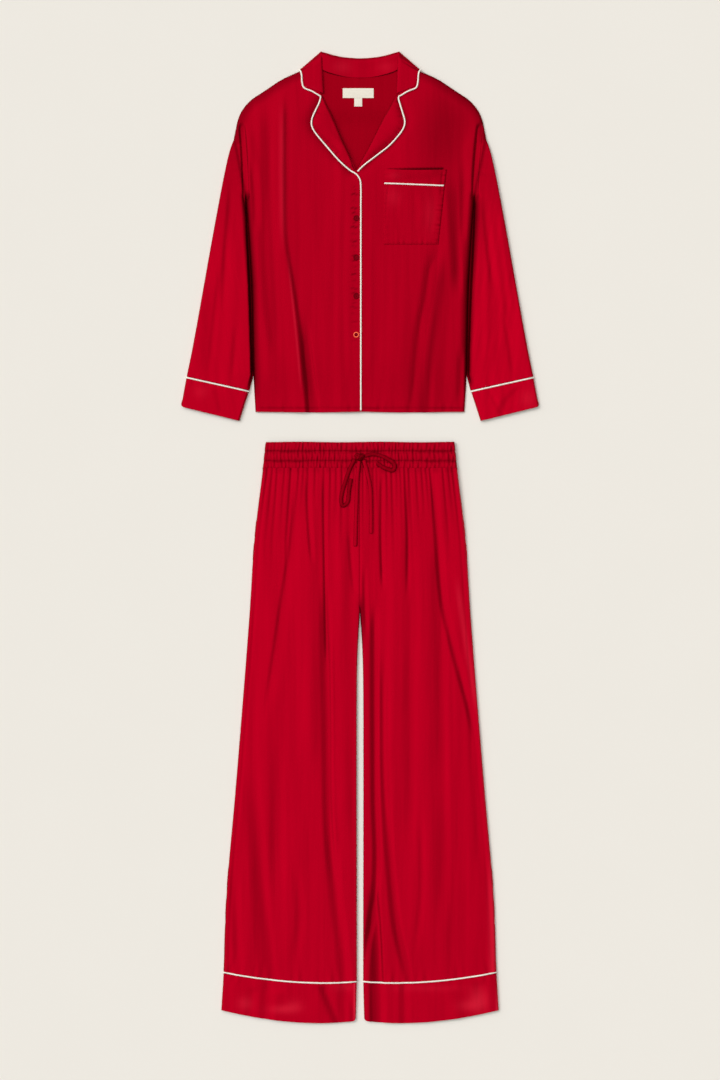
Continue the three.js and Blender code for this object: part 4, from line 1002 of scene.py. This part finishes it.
SLEEVE_HEIGHT = 4.8
SLEEVE_INNER = [(204.9, 612), (195.0, 455), (191.6, 292), (198.9, 264.8)]
SLEEVE_OUTER = [(226.2, 718.2), (236, 690), (302, 338), (311.9, 289.8)]
CUFF_INNER = [(200, 262.6), (217, 209.8)]
CUFF_OUTER = [(312.3, 287.6), (321.8, 235.5)]
SLEEVE_FOLDS = [
    Fold([(235, 680), (262, 395)], 24, 24, 1.3, 90),
    Fold([(221, 590), (237, 300)], 18, 20, 0.7, 90),
    Fold([(284, 470), (297, 275)], 22, 22, 0.9, 70),
    Fold([(231, 385), (252, 205)], 18, 18, 0.6, 60),
]
# Painted shade in streaks across the cuffs, and painted highlights on them
CUFF_SHADES = [
    Fold([(248, 214), (256, 240), (270, 258), (288, 276)], 11, 11, 0.2, 14),
    Fold([(-252, 222), (-258, 250), (-262, 272)], 8, 8, 0.18, 10),
]
CUFF_HIGHLIGHTS = [Highlight(302, 250, 14, 16, 0.16), Highlight(-286, 262, 14, 12, 0.12)]
LEFT_SLEEVE_CREASES = [
    Fold([(222, 640), (232, 520), (246, 420)], 9, 10, -0.8, 60),
    Fold([(240, 610), (258, 470), (274, 350)], 11, 9, -0.7, 70),
    Fold([(258, 410), (270, 340), (276, 280)], 8, 8, -0.7, 40),
    Fold([(232, 268), (246, 240), (262, 212)], 9, 8, -0.6, 16),
]
RIGHT_SLEEVE_CREASES = [
    Fold([(-226, 670), (-240, 520), (-247, 390)], 9, 10, -1, 70),
    Fold([(-250, 490), (-262, 380), (-272, 280)], 8, 9, -0.7, 60),
    Fold([(-222, 390), (-226, 320), (-232, 270)], 9, 9, -0.7, 40),
]


def sleeve_top(x, y, from_inner, width):
    """The sleeve lies low beside the body, then rises to its full height."""
    creases = LEFT_SLEEVE_CREASES + RIGHT_SLEEVE_CREASES
    side = np.abs(x)
    cuff_seam = [CUFF_INNER[0], CUFF_OUTER[0]]
    fine = 0.3 * ripples(x + 0.25 * side, y, 31, 30, 180) + 0.35 * puckers(cuff_seam, side, y, 14, 9, 33)
    raised_by = np.maximum(0, 2.2 + fold_height(SLEEVE_FOLDS, side, y) + fold_height(creases, x, y) + fine)
    free = ramp(0, 45, away_from(ARMHOLE, side, y))
    away = np.minimum(from_inner, width - from_inner)
    at_armhole = np.maximum(0, front_top(x, y) - SLEEVE_HEIGHT)
    height = SLEEVE_HEIGHT + roll(away - 0.4, 3) * mix(at_armhole, raised_by, free)
    shadowed = np.where(x > 0, mix(4.5, 12, ramp(300, 560, y)), mix(4, 9, ramp(280, 560, y)))
    low = ramp(262, 300, y) * ramp(640, 600, y)
    beside_body = ramp(0.45 * shadowed, 1.25 * shadowed, from_inner)
    return mix(height, mix(0.9, height + 1.2 * ramp(60, 8, from_inner), beside_body), low)


def sleeve_shade(x, y, from_inner):
    """Painted shade where the sleeve lies against the body, over its upper part, and along the armhole seam.
    """
    start = np.where(x > 0, 3, 4)
    end = np.where(x > 0, mix(11, 17, ramp(300, 560, y)), mix(8, 12, ramp(280, 560, y)))
    against_body = 0.95 * (1 - ramp(start, end, from_inner)) * ramp(258, 300, y) * ramp(650, 590, y)
    upper = 0.22 * ramp(470, 690, y)
    armhole = 0.55 * beside(ARMHOLE, np.abs(x), y, 4)
    return np.maximum.reduce([against_body, upper, armhole])


def flat_tube(inner, outer, shares, top, side, corner=0, outer_corner=False):
    """Places round a flat tube of cloth, from an inner line to an outer one and back underneath."""
    inner, outer = run_of(inner)(shares), run_of(outer)(shares)
    over_top = (1 - np.cos(np.linspace(0, pi, 64))) / 2
    under = (1 - np.cos(np.linspace(0, pi, 22)[1:])) / 2
    share = np.concatenate([over_top, 1 - under])[None, :]
    is_top = np.arange(share.size) < over_top.size
    x = mix(inner[:, :1], outer[:, :1], share) * side
    y = mix(inner[:, 1:], outer[:, 1:], share)
    width = np.linalg.norm(outer - inner, axis=1)[:, None]
    away = np.minimum(share, 1 - share) * width
    middle, low = 1.9, 0.25
    rise = roll(away, 2)
    above = middle + rise * (top(x, y, share * width, width) - middle)
    below = middle - rise * (middle - low)
    from_corner = np.clip(corner - (1 - share if outer_corner else share) * width, 0, corner)
    y = y + (corner - np.sqrt(corner ** 2 - from_corner ** 2)) * ramp(0.7, 1, shares)[:, None]
    return np.stack([x, y, np.where(is_top, above, below)], axis=-1)


def tube_piece(name, lattice, material, shade=None):
    """A tube of cloth, open at both ends."""
    mesh = moved_grid(lattice, False, shade)
    welded(mesh)
    upmost = max(mesh.faces, key=lambda face: face.calc_center_median().z)
    if upmost.normal.z < 0:
        bmesh.ops.reverse_faces(mesh, faces=mesh.faces)
    piece = finished(mesh, name + "_cloth", material, name, wall=CLOTH)


def ring_piping(name, inner, outer, top, side, bend=None):
    """Piping that runs round a flat tube, over it and back underneath."""
    inner, outer = np.array(inner, float), np.array(outer, float)
    count, count_under, eased = 70, 40, 8
    share = np.concatenate([np.linspace(0.02, 0.98, count), [0.996, 1.0, 0.996],
                            np.linspace(0.97, 0.03, count_under), [0.004, 0.0, 0.004]])
    width = np.linalg.norm(outer - inner)
    x = mix(inner[0], outer[0], share) * side
    y = mix(inner[1], outer[1], share)
    on_top = top(x, y, share * width, width)[:count] + 0.7
    slope = 4.6 + np.arange(eased) * 0.5
    on_top[:eased] = np.minimum(on_top[:eased], slope)
    on_top[-eased:] = np.minimum(on_top[-eased:], slope[::-1])
    z = np.concatenate([on_top, [4.4, 3.2, 1.9], np.full(count_under, 1.3), [1.9, 3.2, 4.4]])
    if bend is not None:
        y = y + bend(share)
    along = np.array([-(outer - inner)[1] * side, (outer - inner)[0], 0]) / width
    mesh = cord_mesh(np.column_stack([x, y, z]), PIPING, 2.4, side=along, closed=True)
    finished(mesh, name + "_cord", cream.material, name)


SLEEVE_TURN = 0.17
# Lighter copies of the red for the sleeves, the left one lighter still, as painted light
SLEEVE_LIT_AND_SHADED_REDS = {"right": (0.405, 0.0, 0.011, 1), "left": (0.49, 0.0, 0.0135, 1)}
for side_name, side in (("right", -1), ("left", 1)):
    sleeve_satin = satin("sleeve_satin_" + side_name, side * SLEEVE_TURN, SLEEVE_LIT_AND_SHADED_REDS[side_name], SATIN_RED)
    down = np.linspace(0, 1, 130)
    sleeve = flat_tube(with_corner(SLEEVE_INNER), soft(SLEEVE_OUTER), down, sleeve_top, side)
    from_inner = away_from(SLEEVE_INNER, np.abs(sleeve[..., 0]), sleeve[..., 1])
    tube_piece("sleeve_" + side_name, sleeve, sleeve_satin,
               shade=sleeve_shade(sleeve[..., 0], sleeve[..., 1], from_inner))
    down = np.linspace(0.03, 1, 34)
    cuff = flat_tube(CUFF_INNER, CUFF_OUTER, down, sleeve_top, side, 5, outer_corner=True)
    x, y = cuff[..., 0], cuff[..., 1]
    tube_piece("cuff_" + side_name, cuff, sleeve_satin,
               shade=fold_height(CUFF_SHADES, x, y) - painted_highlight(CUFF_HIGHLIGHTS, x, y))
    ring_piping("piping_cuff_" + side_name, CUFF_INNER[0], CUFF_OUTER[0], sleeve_top, side)

# Trouser backs and fronts
# Two wide legs, each of a back that rests flat and a front that is gathered into the waistband. The gathers
# run out into long soft creases down each leg.

WAIST_TOP = (169.6, 171.7)
WAIST_BOTTOM = (175, 121.6)
CROTCH_Y = -132
LEG_OUTER = [(175, 121.2), (190, -4.5), (198.5, -133), (211, -295), (225, -465), (240, -640),
             (244.8, -779.5)]
INSEAM = [(0.0, -132), (4, -199), (5.5, -247), (5.7, -796)]
CENTRE = (-0.1, 121.2)
HemLine = namedtuple("HemLine", "inner outer drop")
HEM_SEAM = HemLine((5.9, -798.7), (245.3, -782), 8)
HEM_END = HemLine((7.5, -869), (249.5, -850), 11)
HEM_GAP = 1.6
TROUSER_FOLDS = [
    Fold([(-92, 75), (-86, -440)], 30, 24, 1.1, 90),
    Fold([(-34, 55), (-30, -560)], 24, 20, 1.1, 90),
    Fold([(-150, -60), (-178, -640)], 40, 30, 1, 120),
    Fold([(66, 55), (66, -540)], 22, 34, 1.2, 90),
    Fold([(112, 15), (128, -440)], 34, 30, 1.2, 90),
    Fold([(120, -420), (140, -790)], 50, 44, 1.5, 120),
    Fold([(-110, -460), (-118, -790)], 34, 34, 0.8, 110),
    Fold([(-64.5, 124), (-63.5, -5), (-61, -150), (-59, -240)], 5, 5, -1.7, 60),
    Fold([(-62, -60), (-60, -240), (-58, -336), (-56, -473), (-52, -560), (-46, -640)], 15, 12, -2.5, 110),
    Fold([(-53, -150), (-51.5, -336), (-50.5, -473), (-46, -560), (-42, -640)], 3.6, 9, 1, 90),
    Fold([(-50, -520), (-42, -640), (-30, -740), (-22, -860)], 18, 13, -2.1, 90),
    Fold([(40, 124), (39, -4), (42, -100)], 6, 6, -1.8, 40),
    Fold([(27, -110), (27, -300), (28, -473), (31, -580), (26, -660), (12, -740), (4, -860)],
         11, 9, -2.5, 60),
    Fold([(44, -180), (44, -400), (50, -523), (57, -620), (66, -700), (84, -780), (100, -860)],
         12, 11, -2.2, 110),
    Fold([(28, -620), (34, -700), (38, -780), (40, -880)], 27, 5, -4.4, 70),
    Fold([(131, 122), (138, 20), (150, -118), (173, -220), (197, -310), (206, -370)], 9, 12, -2.0, 60),
    Fold([(140, 40), (146, -184), (150, -400), (152, -600), (148, -720)], 18, 14, -1.3, 110),
    Fold([(108, -480), (112, -620), (100, -760)], 10, 9, -0.8, 80),
    Fold([(-95, 120), (-91, 20), (-85, -60)], 6, 8, -1.4, 50),
    Fold([(-112, 100), (-124, -20), (-137, -100), (-152, -200), (-172, -330)], 8, 22, -1.1, 90),
    Fold([(-192, -400), (-188, -500), (-178, -620), (-168, -740), (-154, -860)], 24, 18, -2.1, 110),
    Fold([(-228, -560), (-222, -680), (-214, -800)], 14, 12, -1, 80),
    Fold([(-120, -560), (-108, -680), (-120, -790)], 14, 12, -0.8, 80),
    Fold([(86, 122), (88, 20), (86, -120)], 7, 8, -1.4, 70),
    Fold([(90, -160), (93, -420), (88, -620)], 18, 16, -0.6, 120),
    Fold([(198, -280), (210, -460), (222, -640)], 14, 12, -0.8, 100),
    Fold([(-142, -330), (-146, -520), (-150, -700)], 18, 16, -0.6, 110),
    Fold([(8, -40), (9, -110), (12, -190)], 6, 7, -1.2, 50),
    Fold([(-20, 20), (-14, -60), (-8, -110)], 6, 6, -0.7, 30),
]
# Painted shade in the valleys between the folds, and a painted highlight where rise is negative
TROUSER_SHADES = [
    Fold([(-60, -40), (-60, -240), (-57, -380), (-53, -560)], 8, 7, 0.12, 110),
    Fold([(28, -150), (28, -473), (31, -580), (24, -660), (16, -740), (12, -900)], 7, 7, 0.08, 60),
    Fold([(22, -600), (21, -700), (22, -760), (24, -960)], 17, 17, 0.30, 150),
    Fold([(47.6, -480), (56, -610), (66, -690), (85.5, -784), (95, -860)], 8, 9, 0.20, 100),
    Fold([(130, 124), (138, 20), (149, -118), (172, -218), (200, -330)], 4, 4, 0.10, 60),
    Fold([(-190, -420), (-183, -600), (-165, -750), (-150, -900)], 16, 13, 0.20, 130),
    Fold([(236, -540), (239, -700), (242, -900)], 14, 9, -0.28, 110),
    Fold([(172, -60), (186, -160), (214, -330)], 9, 9, -0.22, 60),
]
HEM_LINE = [(5.9, -797.1), (60, -803), (125, -804), (190, -796), (245.3, -780.4)]

# Gathers under the waistband: where each starts, how far it leans, its length and its depth
Gather = namedtuple("Gather", "x lean length depth")
GATHERS = [Gather(*row) for row in [
    (-166, -8, 70, 1.2), (-157, -7, 120, 1.5), (-148, -4, 150, 1.7), (-135, -3, 90, 1.6),
    (-123.7, -5, 170, 2.0), (-109.4, -4, 75, 1.8), (-101, -2, 55, 1.4), (-92.7, 0, 60, 1.4),
    (-80, 0, 50, 1.4), (-64.3, 2, 60, 1.2), (-52.6, 1, 95, 2.0), (-42.3, 1, 70, 1.7), (-32, 0, 110, 1.8),
    (-20.3, 1, 75, 1.7), (-10, 0, 50, 1.4), (5.5, 0, 95, 1.7), (14, 1, 55, 1.4), (23.6, 1, 120, 1.9),
    (30, 1, 60, 1.4), (48, 1, 60, 1.4), (57, 1, 130, 1.9), (66, 1, 50, 1.4), (72.6, 1, 90, 1.7),
    (80.4, 1, 130, 2.0), (88.1, 2, 160, 2.0), (101, 2, 80, 1.8), (111, 3, 65, 1.6), (119, 4, 60, 1.5),
    (126, 6, 90, 1.9), (149, 5, 110, 1.8), (159, 6, 75, 1.6), (167, 7, 100, 1.5),
]]


def gather_height(x, y):
    """Narrow troughs that start at the waistband and widen as they die away."""
    total = np.zeros(np.shape(x))
    below = WAIST_BOTTOM[1] - y
    spread = 1 + 0.05 * np.clip(below, 0, 126) / 126
    for gather in GATHERS:
        down = np.clip(below / (1.6 * gather.length), 0, 1)
        centre = gather.x * spread + gather.lean * down
        width = 2.4 + 4 * down
        bump = 0.5 + 0.5 * np.cos(pi * np.clip(np.abs(x - centre) / width, 0, 1))
        total -= 0.5 * gather.depth * bump * (1 - down) ** 1.3
    return total


def trouser_top(x, y):
    """The upper side of the trouser fronts: puffed, gathered at the waist and creased down the legs."""
    side = np.abs(x)
    outer = away_from(soft(LEG_OUTER, 3), side, y)
    inner = np.where(y < CROTCH_Y + 30, away_from(INSEAM, side, y), 99)
    edge = np.minimum(outer, inner)
    near_waist = ramp(-50, WAIST_BOTTOM[1] - 10, y)
    fine = 0.4 * ripples(x, y, 51, 30, 260) + 0.5 * puckers(HEM_LINE, side, y, 19, 22, 53)
    creased = fold_height(TROUSER_FOLDS, x, y) * (1 - 0.3 * near_waist) + fine
    full = np.maximum(-1.5, PUFF + 0.6 + creased) + near_waist * 2.8 + gather_height(x, y)
    centre_seam = -0.5 * bell(x - 0.25, 1.6) * ramp(CROTCH_Y - 10, CROTCH_Y + 40, y)
    side_seam = -0.4 * bell(outer - 9, 2)
    return ON_BACK + roll(edge, 1.8) * SEAM_RISE + roll(edge, 2.6) * full + centre_seam + side_seam


def trouser_shade(x, y):
    """Painted shade in the fork, under the waistband, in the gathers and folds; painted highlight on one
    edge of each leg.
    """
    fork = 0.7 * bell(x - 1.5, 5) * ramp(-90, -135, y) * ramp(-225, -170, y)
    under_band = 0.25 * ramp(112, 121, y) * (0.6 + 0.4 * np.sin(x / 3.1 + 2 * np.sin(x / 17)))
    deep = np.maximum.reduce([fork, under_band, np.clip(-0.4 * gather_height(x, y), 0, 0.4)])
    outer = away_from(soft(LEG_OUTER, 3), np.abs(x), y)
    inner = np.where(y < CROTCH_Y, away_from(INSEAM, np.abs(x), y), 99)
    # A painted highlight keeps the rolled edge on the far side from the light from going black
    lit_edge = 0.9 * bell(np.where(x > 0, outer, inner), 2)
    return (deep + (1 - deep) * fold_height(TROUSER_SHADES, x, y)) * (1 - lit_edge) - lit_edge


def hem_sag(share):
    """How far a hem hangs at a share of its width, for a drop of 1."""
    return 4 * share * (1 - share) * mix(1.1, 0.9, share)


def seam_place(share, side):
    x, y = mix(np.array(HEM_SEAM.inner)[:, None], np.array(HEM_SEAM.outer)[:, None], share)
    return np.column_stack([side * x, y - HEM_SEAM.drop * hem_sag(share) + HEM_GAP])


leg_edge = np.array([0, 0.0007, 0.0022, 0.0045, 0.0075, 0.011, 0.017, 0.025])
leg_columns = np.concatenate([leg_edge, np.linspace(0.034, 0.966, 98), 1 - leg_edge[::-1]])
leg_rows = in_stretches((0, 0.80, 112), (0.804, 1, 62))
for side_name, side in (("right", -1), ("left", 1)):
    hem = seam_place(np.linspace(0, 1, 30), side)
    inside = joined([(5.7, hem[0, 1])], soft(INSEAM[::-1])[1:], [CENTRE]) * [side, 1]
    hem[0, 0] = inside[0, 0]
    outside = soft([(245, hem[-1, 1])] + LEG_OUTER[-2::-1]) * [side, 1]
    waist = [(side * CENTRE[0], CENTRE[1] + 4), (side * LEG_OUTER[0][0], LEG_OUTER[0][1] + 4)]
    borders = hem, waist, joined(inside, waist[:1]), joined(outside, waist[1:])
    x, y = panel(*borders, leg_columns, leg_rows)
    cloth_piece("trouser_front_" + side_name, x, y, trouser_top(x, y),
                leg_satin, shade=trouser_shade(x, y))
    x, y = panel(*borders, np.linspace(0, 1, 40), np.linspace(0, 1, 110))
    cloth_piece("trouser_back_" + side_name, x, y, np.full(x.shape, RESTING))

# Hem bands
# A deep band at the foot of each leg, with piping in its seam. Its lower edge sags a little in the middle.

HEM_CREASES = [
    Fold([(-70, -795), (-54, -835), (-40, -878)], 14, 12, -1.1, 14),
    Fold([(-26, -795), (-14, -840), (-12, -880)], 10, 9, -1.1, 14),
    Fold([(38, -795), (40, -840), (40, -885)], 30, 5, -2.8, 14),
    Fold([(-150, -800), (-158, -870)], 20, 16, 1, 14),
    Fold([(-190, -800), (-200, -870)], 14, 12, -0.8, 14),
    Fold([(160, -795), (178, -870)], 18, 16, 0.8, 14),
    Fold([(214, -790), (226, -860)], 14, 12, -0.8, 14),
]
# Painted shade in the hem bands' creases, and painted highlights in spots
HEM_SHADES = [
    Fold([(22, -770), (24, -840), (24, -910)], 20, 17, 0.42, 10),
    Fold([(-74, -800), (-58, -838), (-40, -882)], 10, 10, 0.36, 12),
]
HEM_HIGHLIGHTS = [Highlight(-138, -848, 24, 8, 0.3), Highlight(-118, -842, 14, 11, 0.2), Highlight(-207, -838, 13, 12, 0.25),
             Highlight(214, -832, 16, 20, 0.4), Highlight(196, -842, 20, 10, 0.25), Highlight(-30, -808, 22, 8, 0.16),
             Highlight(120, -810, 60, 7, 0.12)]


def hem_top(x, y, from_inner, width):
    """The hem bands carry on the creases of the legs, and have some of their own."""
    lowest = np.maximum(y, -765)
    away = np.minimum(from_inner, width - from_inner)
    small = 0.3 * ripples(x, y, 61, 30, 90) + 0.4 * puckers(HEM_LINE, np.abs(x), y, 15, 12, 63)
    folds = 0.75 * fold_height(TROUSER_FOLDS, x, lowest) + fold_height(HEM_CREASES, x, y)
    return SLEEVE_HEIGHT + roll(away - 0.4, 2.4) * np.maximum(0, 2 + folds + small)


# Painted shade and highlights on the hem bands, with a painted highlight along the end that faces away from
# the light
def hem_shade(x, y):
    from_lit_end = np.where(x > 0, HEM_END.outer[0] - 2 - x, x + HEM_END.inner[0] + 1)
    lit_edge = 0.9 * bell(from_lit_end, 2.5)
    return fold_height(HEM_SHADES, x, y) - painted_highlight(HEM_HIGHLIGHTS, x, y) - lit_edge


def hem_bend(share):
    return -HEM_SEAM.drop * hem_sag(share)


BAND_START, BAND_WIDTH = 6.5, 241
for side_name, side in (("right", -1), ("left", 1)):
    down = np.linspace(0.025, 1, 34)
    inner, outer = zip(HEM_SEAM[:2], HEM_END[:2])
    band = flat_tube(inner, outer, down, hem_top, side, corner=6)
    across = np.clip((np.abs(band[..., 0]) - BAND_START) / BAND_WIDTH, 0, 1)
    band[..., 1] -= mix(HEM_SEAM.drop, HEM_END.drop, down)[:, None] * hem_sag(across)
    tube_piece("hem_band_" + side_name, band, leg_satin,
               shade=hem_shade(band[..., 0], band[..., 1]))
    ring_piping("piping_hem_" + side_name, HEM_SEAM.inner, HEM_SEAM.outer, hem_top, side, hem_bend)

# Waistband
# An elastic tube of the same satin, gathered evenly and stitched through along two rows, so that it puffs
# up in three channels of fine upright puckers.

# Share of the way down the band, and its height there
BAND_LEVELS = [(0, 7.8), (0.08, 8.9), (0.17, 9.3), (0.29, 8.9), (0.355, 7.7), (0.42, 8.9), (0.53, 9.3),
               (0.64, 8.8), (0.71, 7.7), (0.77, 8.6), (0.86, 9.0), (0.94, 8.6), (1, 7.0)]
BAND_DEPTH = 50
STITCH_ROWS = (0.355, 0.71)
level_curve = soft([(share * BAND_DEPTH, height) for share, height in BAND_LEVELS])
levels = run_of(level_curve)(np.linspace(0, 1, 400))


def band_puckers(x, share):
    """Uneven upright ridges of the ruched cloth, which shift a little from channel to channel."""
    draw = np.random.default_rng(71)
    total = np.zeros(np.shape(x))
    for width in (5.2, 6.4, 7.9, 9.8, 13.1):
        phase, lean, swing = draw.uniform(0, 2 * pi, 3)
        ridges = np.sin(2 * pi * x / width + phase + 1.1 * np.sin(share * 8.3 + lean + x / 37))
        total += ridges * (0.6 + 0.4 * np.sin(x / (4.1 * width) + swing))
    return total / 3.2


def waistband_lattice():
    """Places over the waistband and back underneath, with painted shade at the stitch rows and in the
    puckers' troughs.
    """
    down = np.linspace(0, 1, 44)[:, None]
    across = np.linspace(-1, 1, 330)
    under = np.linspace(1, -1, 40)[1:]
    share = np.concatenate([across, under])[None, :]
    is_top = np.arange(share.size) < across.size
    level = np.interp(down * BAND_DEPTH, levels[:, 0], levels[:, 1])
    half = mix(WAIST_TOP[0], WAIST_BOTTOM[0], down) + (level - 8) * 0.3
    x = share * half
    y = mix(WAIST_TOP[1], WAIST_BOTTOM[1], down) + 0.5 * np.sin(x / 23) * ramp(0.15, 0, down)
    in_channel = np.sqrt(np.clip((level - 6.2) / 3.7, 0, 1))
    away = (1 - np.abs(share)) * half
    ruched = level + 0.75 * band_puckers(x, down) * (0.45 + 0.55 * in_channel)
    middle, low = 3.0, 0.25
    above = middle + roll(away, 2.5) * (ruched - middle)
    below = middle - roll(away, 5) * (middle - low)
    in_seam = np.maximum(*(bell(down - row, 0.028) for row in STITCH_ROWS))
    uneven = np.clip(0.45 + 0.5 * np.sin(x / 21 + 1.2) + 0.35 * np.sin(x / 6.3 + 9 * down), 0.1, 1)
    shade = np.maximum(0.5 * in_seam * uneven, np.clip(0.02 - 0.22 * band_puckers(x, down), 0, 0.5))
    return np.stack([x, y, np.where(is_top, above, below)], axis=-1), shade


band, band_shade = waistband_lattice()
tube_piece("waistband", band, body_satin, band_shade)

# Tie
# A flat tube of the same satin, tied in a small bow at the middle of the waistband. Its two loops and two
# free tails lie on the gathers. On the real tie each tail ends in a folded and stitched tip; here it is
# round.

TIE_WIDTH = 8
TIE_HEIGHT = 3
KNOT = (-0.9, 145)
KNOT_HALVES = (9, 7, 4.0)
BAND_CREST = 10.4
# The knot and loops get a darker copy of the satin's red, as painted shade; the tails keep the body's satin
shaded_tie_satin = satin("shaded_tie_satin", 0.3, (0.27, 0.0, 0.007, 1), (0.15, 0.0, 0.003, 1), 0.0012)


def ground_under_tie(x, y):
    """The tie bridges the gathers, and the step from the waistband down to them."""
    if y > WAIST_BOTTOM[1] - 2:
        return BAND_CREST
    reach = [float(trouser_top(np.array(x + dx), np.array(y + dy)))
             for dx in (-6, -3, 0, 3, 6) for dy in (-5, 0, 5)]
    return float(mix(BAND_CREST, max(reach), ramp(WAIST_BOTTOM[1], WAIST_BOTTOM[1] - 25, y)))


# Outline is how much painted shade darkens the long edges. A point's third number is its height over what it
# lies on.
Tie = namedtuple("Tie", "name far_end outline points")
TIES = [
    Tie("tie_loop_right", "knot", 0.55, [(-9.4, 140.8, 1.5), (-18, 124, 0), (-27, 98, 0), (-34, 68, 0),
                                         (-31, 57, 0), (-23, 62, 0), (-19.5, 84, 0), (-16, 106, 0)]),
    Tie("tie_loop_left", "knot", 0.4, [(8.7, 146.4, 1.5), (24, 149.5, 0), (44, 144, 0), (62, 131, 0),
                                       (60, 121, 0), (46, 124, 0), (30, 134, 0)]),
    Tie("tie_tail_right", "bare", 0.4, [(-1.4, 137.6, 1.5), (-4.2, 112, 0.6), (-6, 67, 0), (-7.4, 20, 0),
                                        (-8.3, -16, 0)]),
    Tie("tie_tail_left", "bare", 0.1, [(6.9, 139.2, 0.6), (13.2, 116, 0), (18.5, 90, 0), (20, 50, 0),
                                       (20.2, 7, 0)]),
]

knot_mesh = bmesh.new()
bmesh.ops.create_uvsphere(knot_mesh, u_segments=48, v_segments=28, radius=1)
knot_middle = (*KNOT, BAND_CREST + 4.5)
for vert in knot_mesh.verts:
    angle = np.arctan2(vert.co.y, vert.co.x)
    crease = 1 + 0.10 * np.sin(3 * angle + 2.2 * vert.co.z) + 0.05 * np.sin(7 * angle - 3 * vert.co.z)
    vert.co = Vector([at + half * value * crease
                      for at, half, value in zip(knot_middle, KNOT_HALVES, vert.co)]) * MM
turned_out(knot_mesh)
finished(knot_mesh, "tie_knot_cloth", shaded_tie_satin, "tie_knot")

for tie in TIES:
    points = [(x, y, ground_under_tie(x, y) + TIE_HEIGHT / 2 + 0.5 + up) for x, y, up in tie.points]
    path = with_ends(soft(points), 90, 1.2)
    is_loop = tie.far_end == "knot"
    tie_mesh = cord_mesh(path, TIE_WIDTH - 1, TIE_HEIGHT - 1, around=24, outline=tie.outline)
    piece = finished(tie_mesh, tie.name + "_cloth", shaded_tie_satin if is_loop else body_satin, tie.name)
    length = float(np.linalg.norm(np.diff(path, axis=0), axis=1).sum()) * MM
    tuple(path[0] * MM)
    [tuple(point * MM) for point in path]
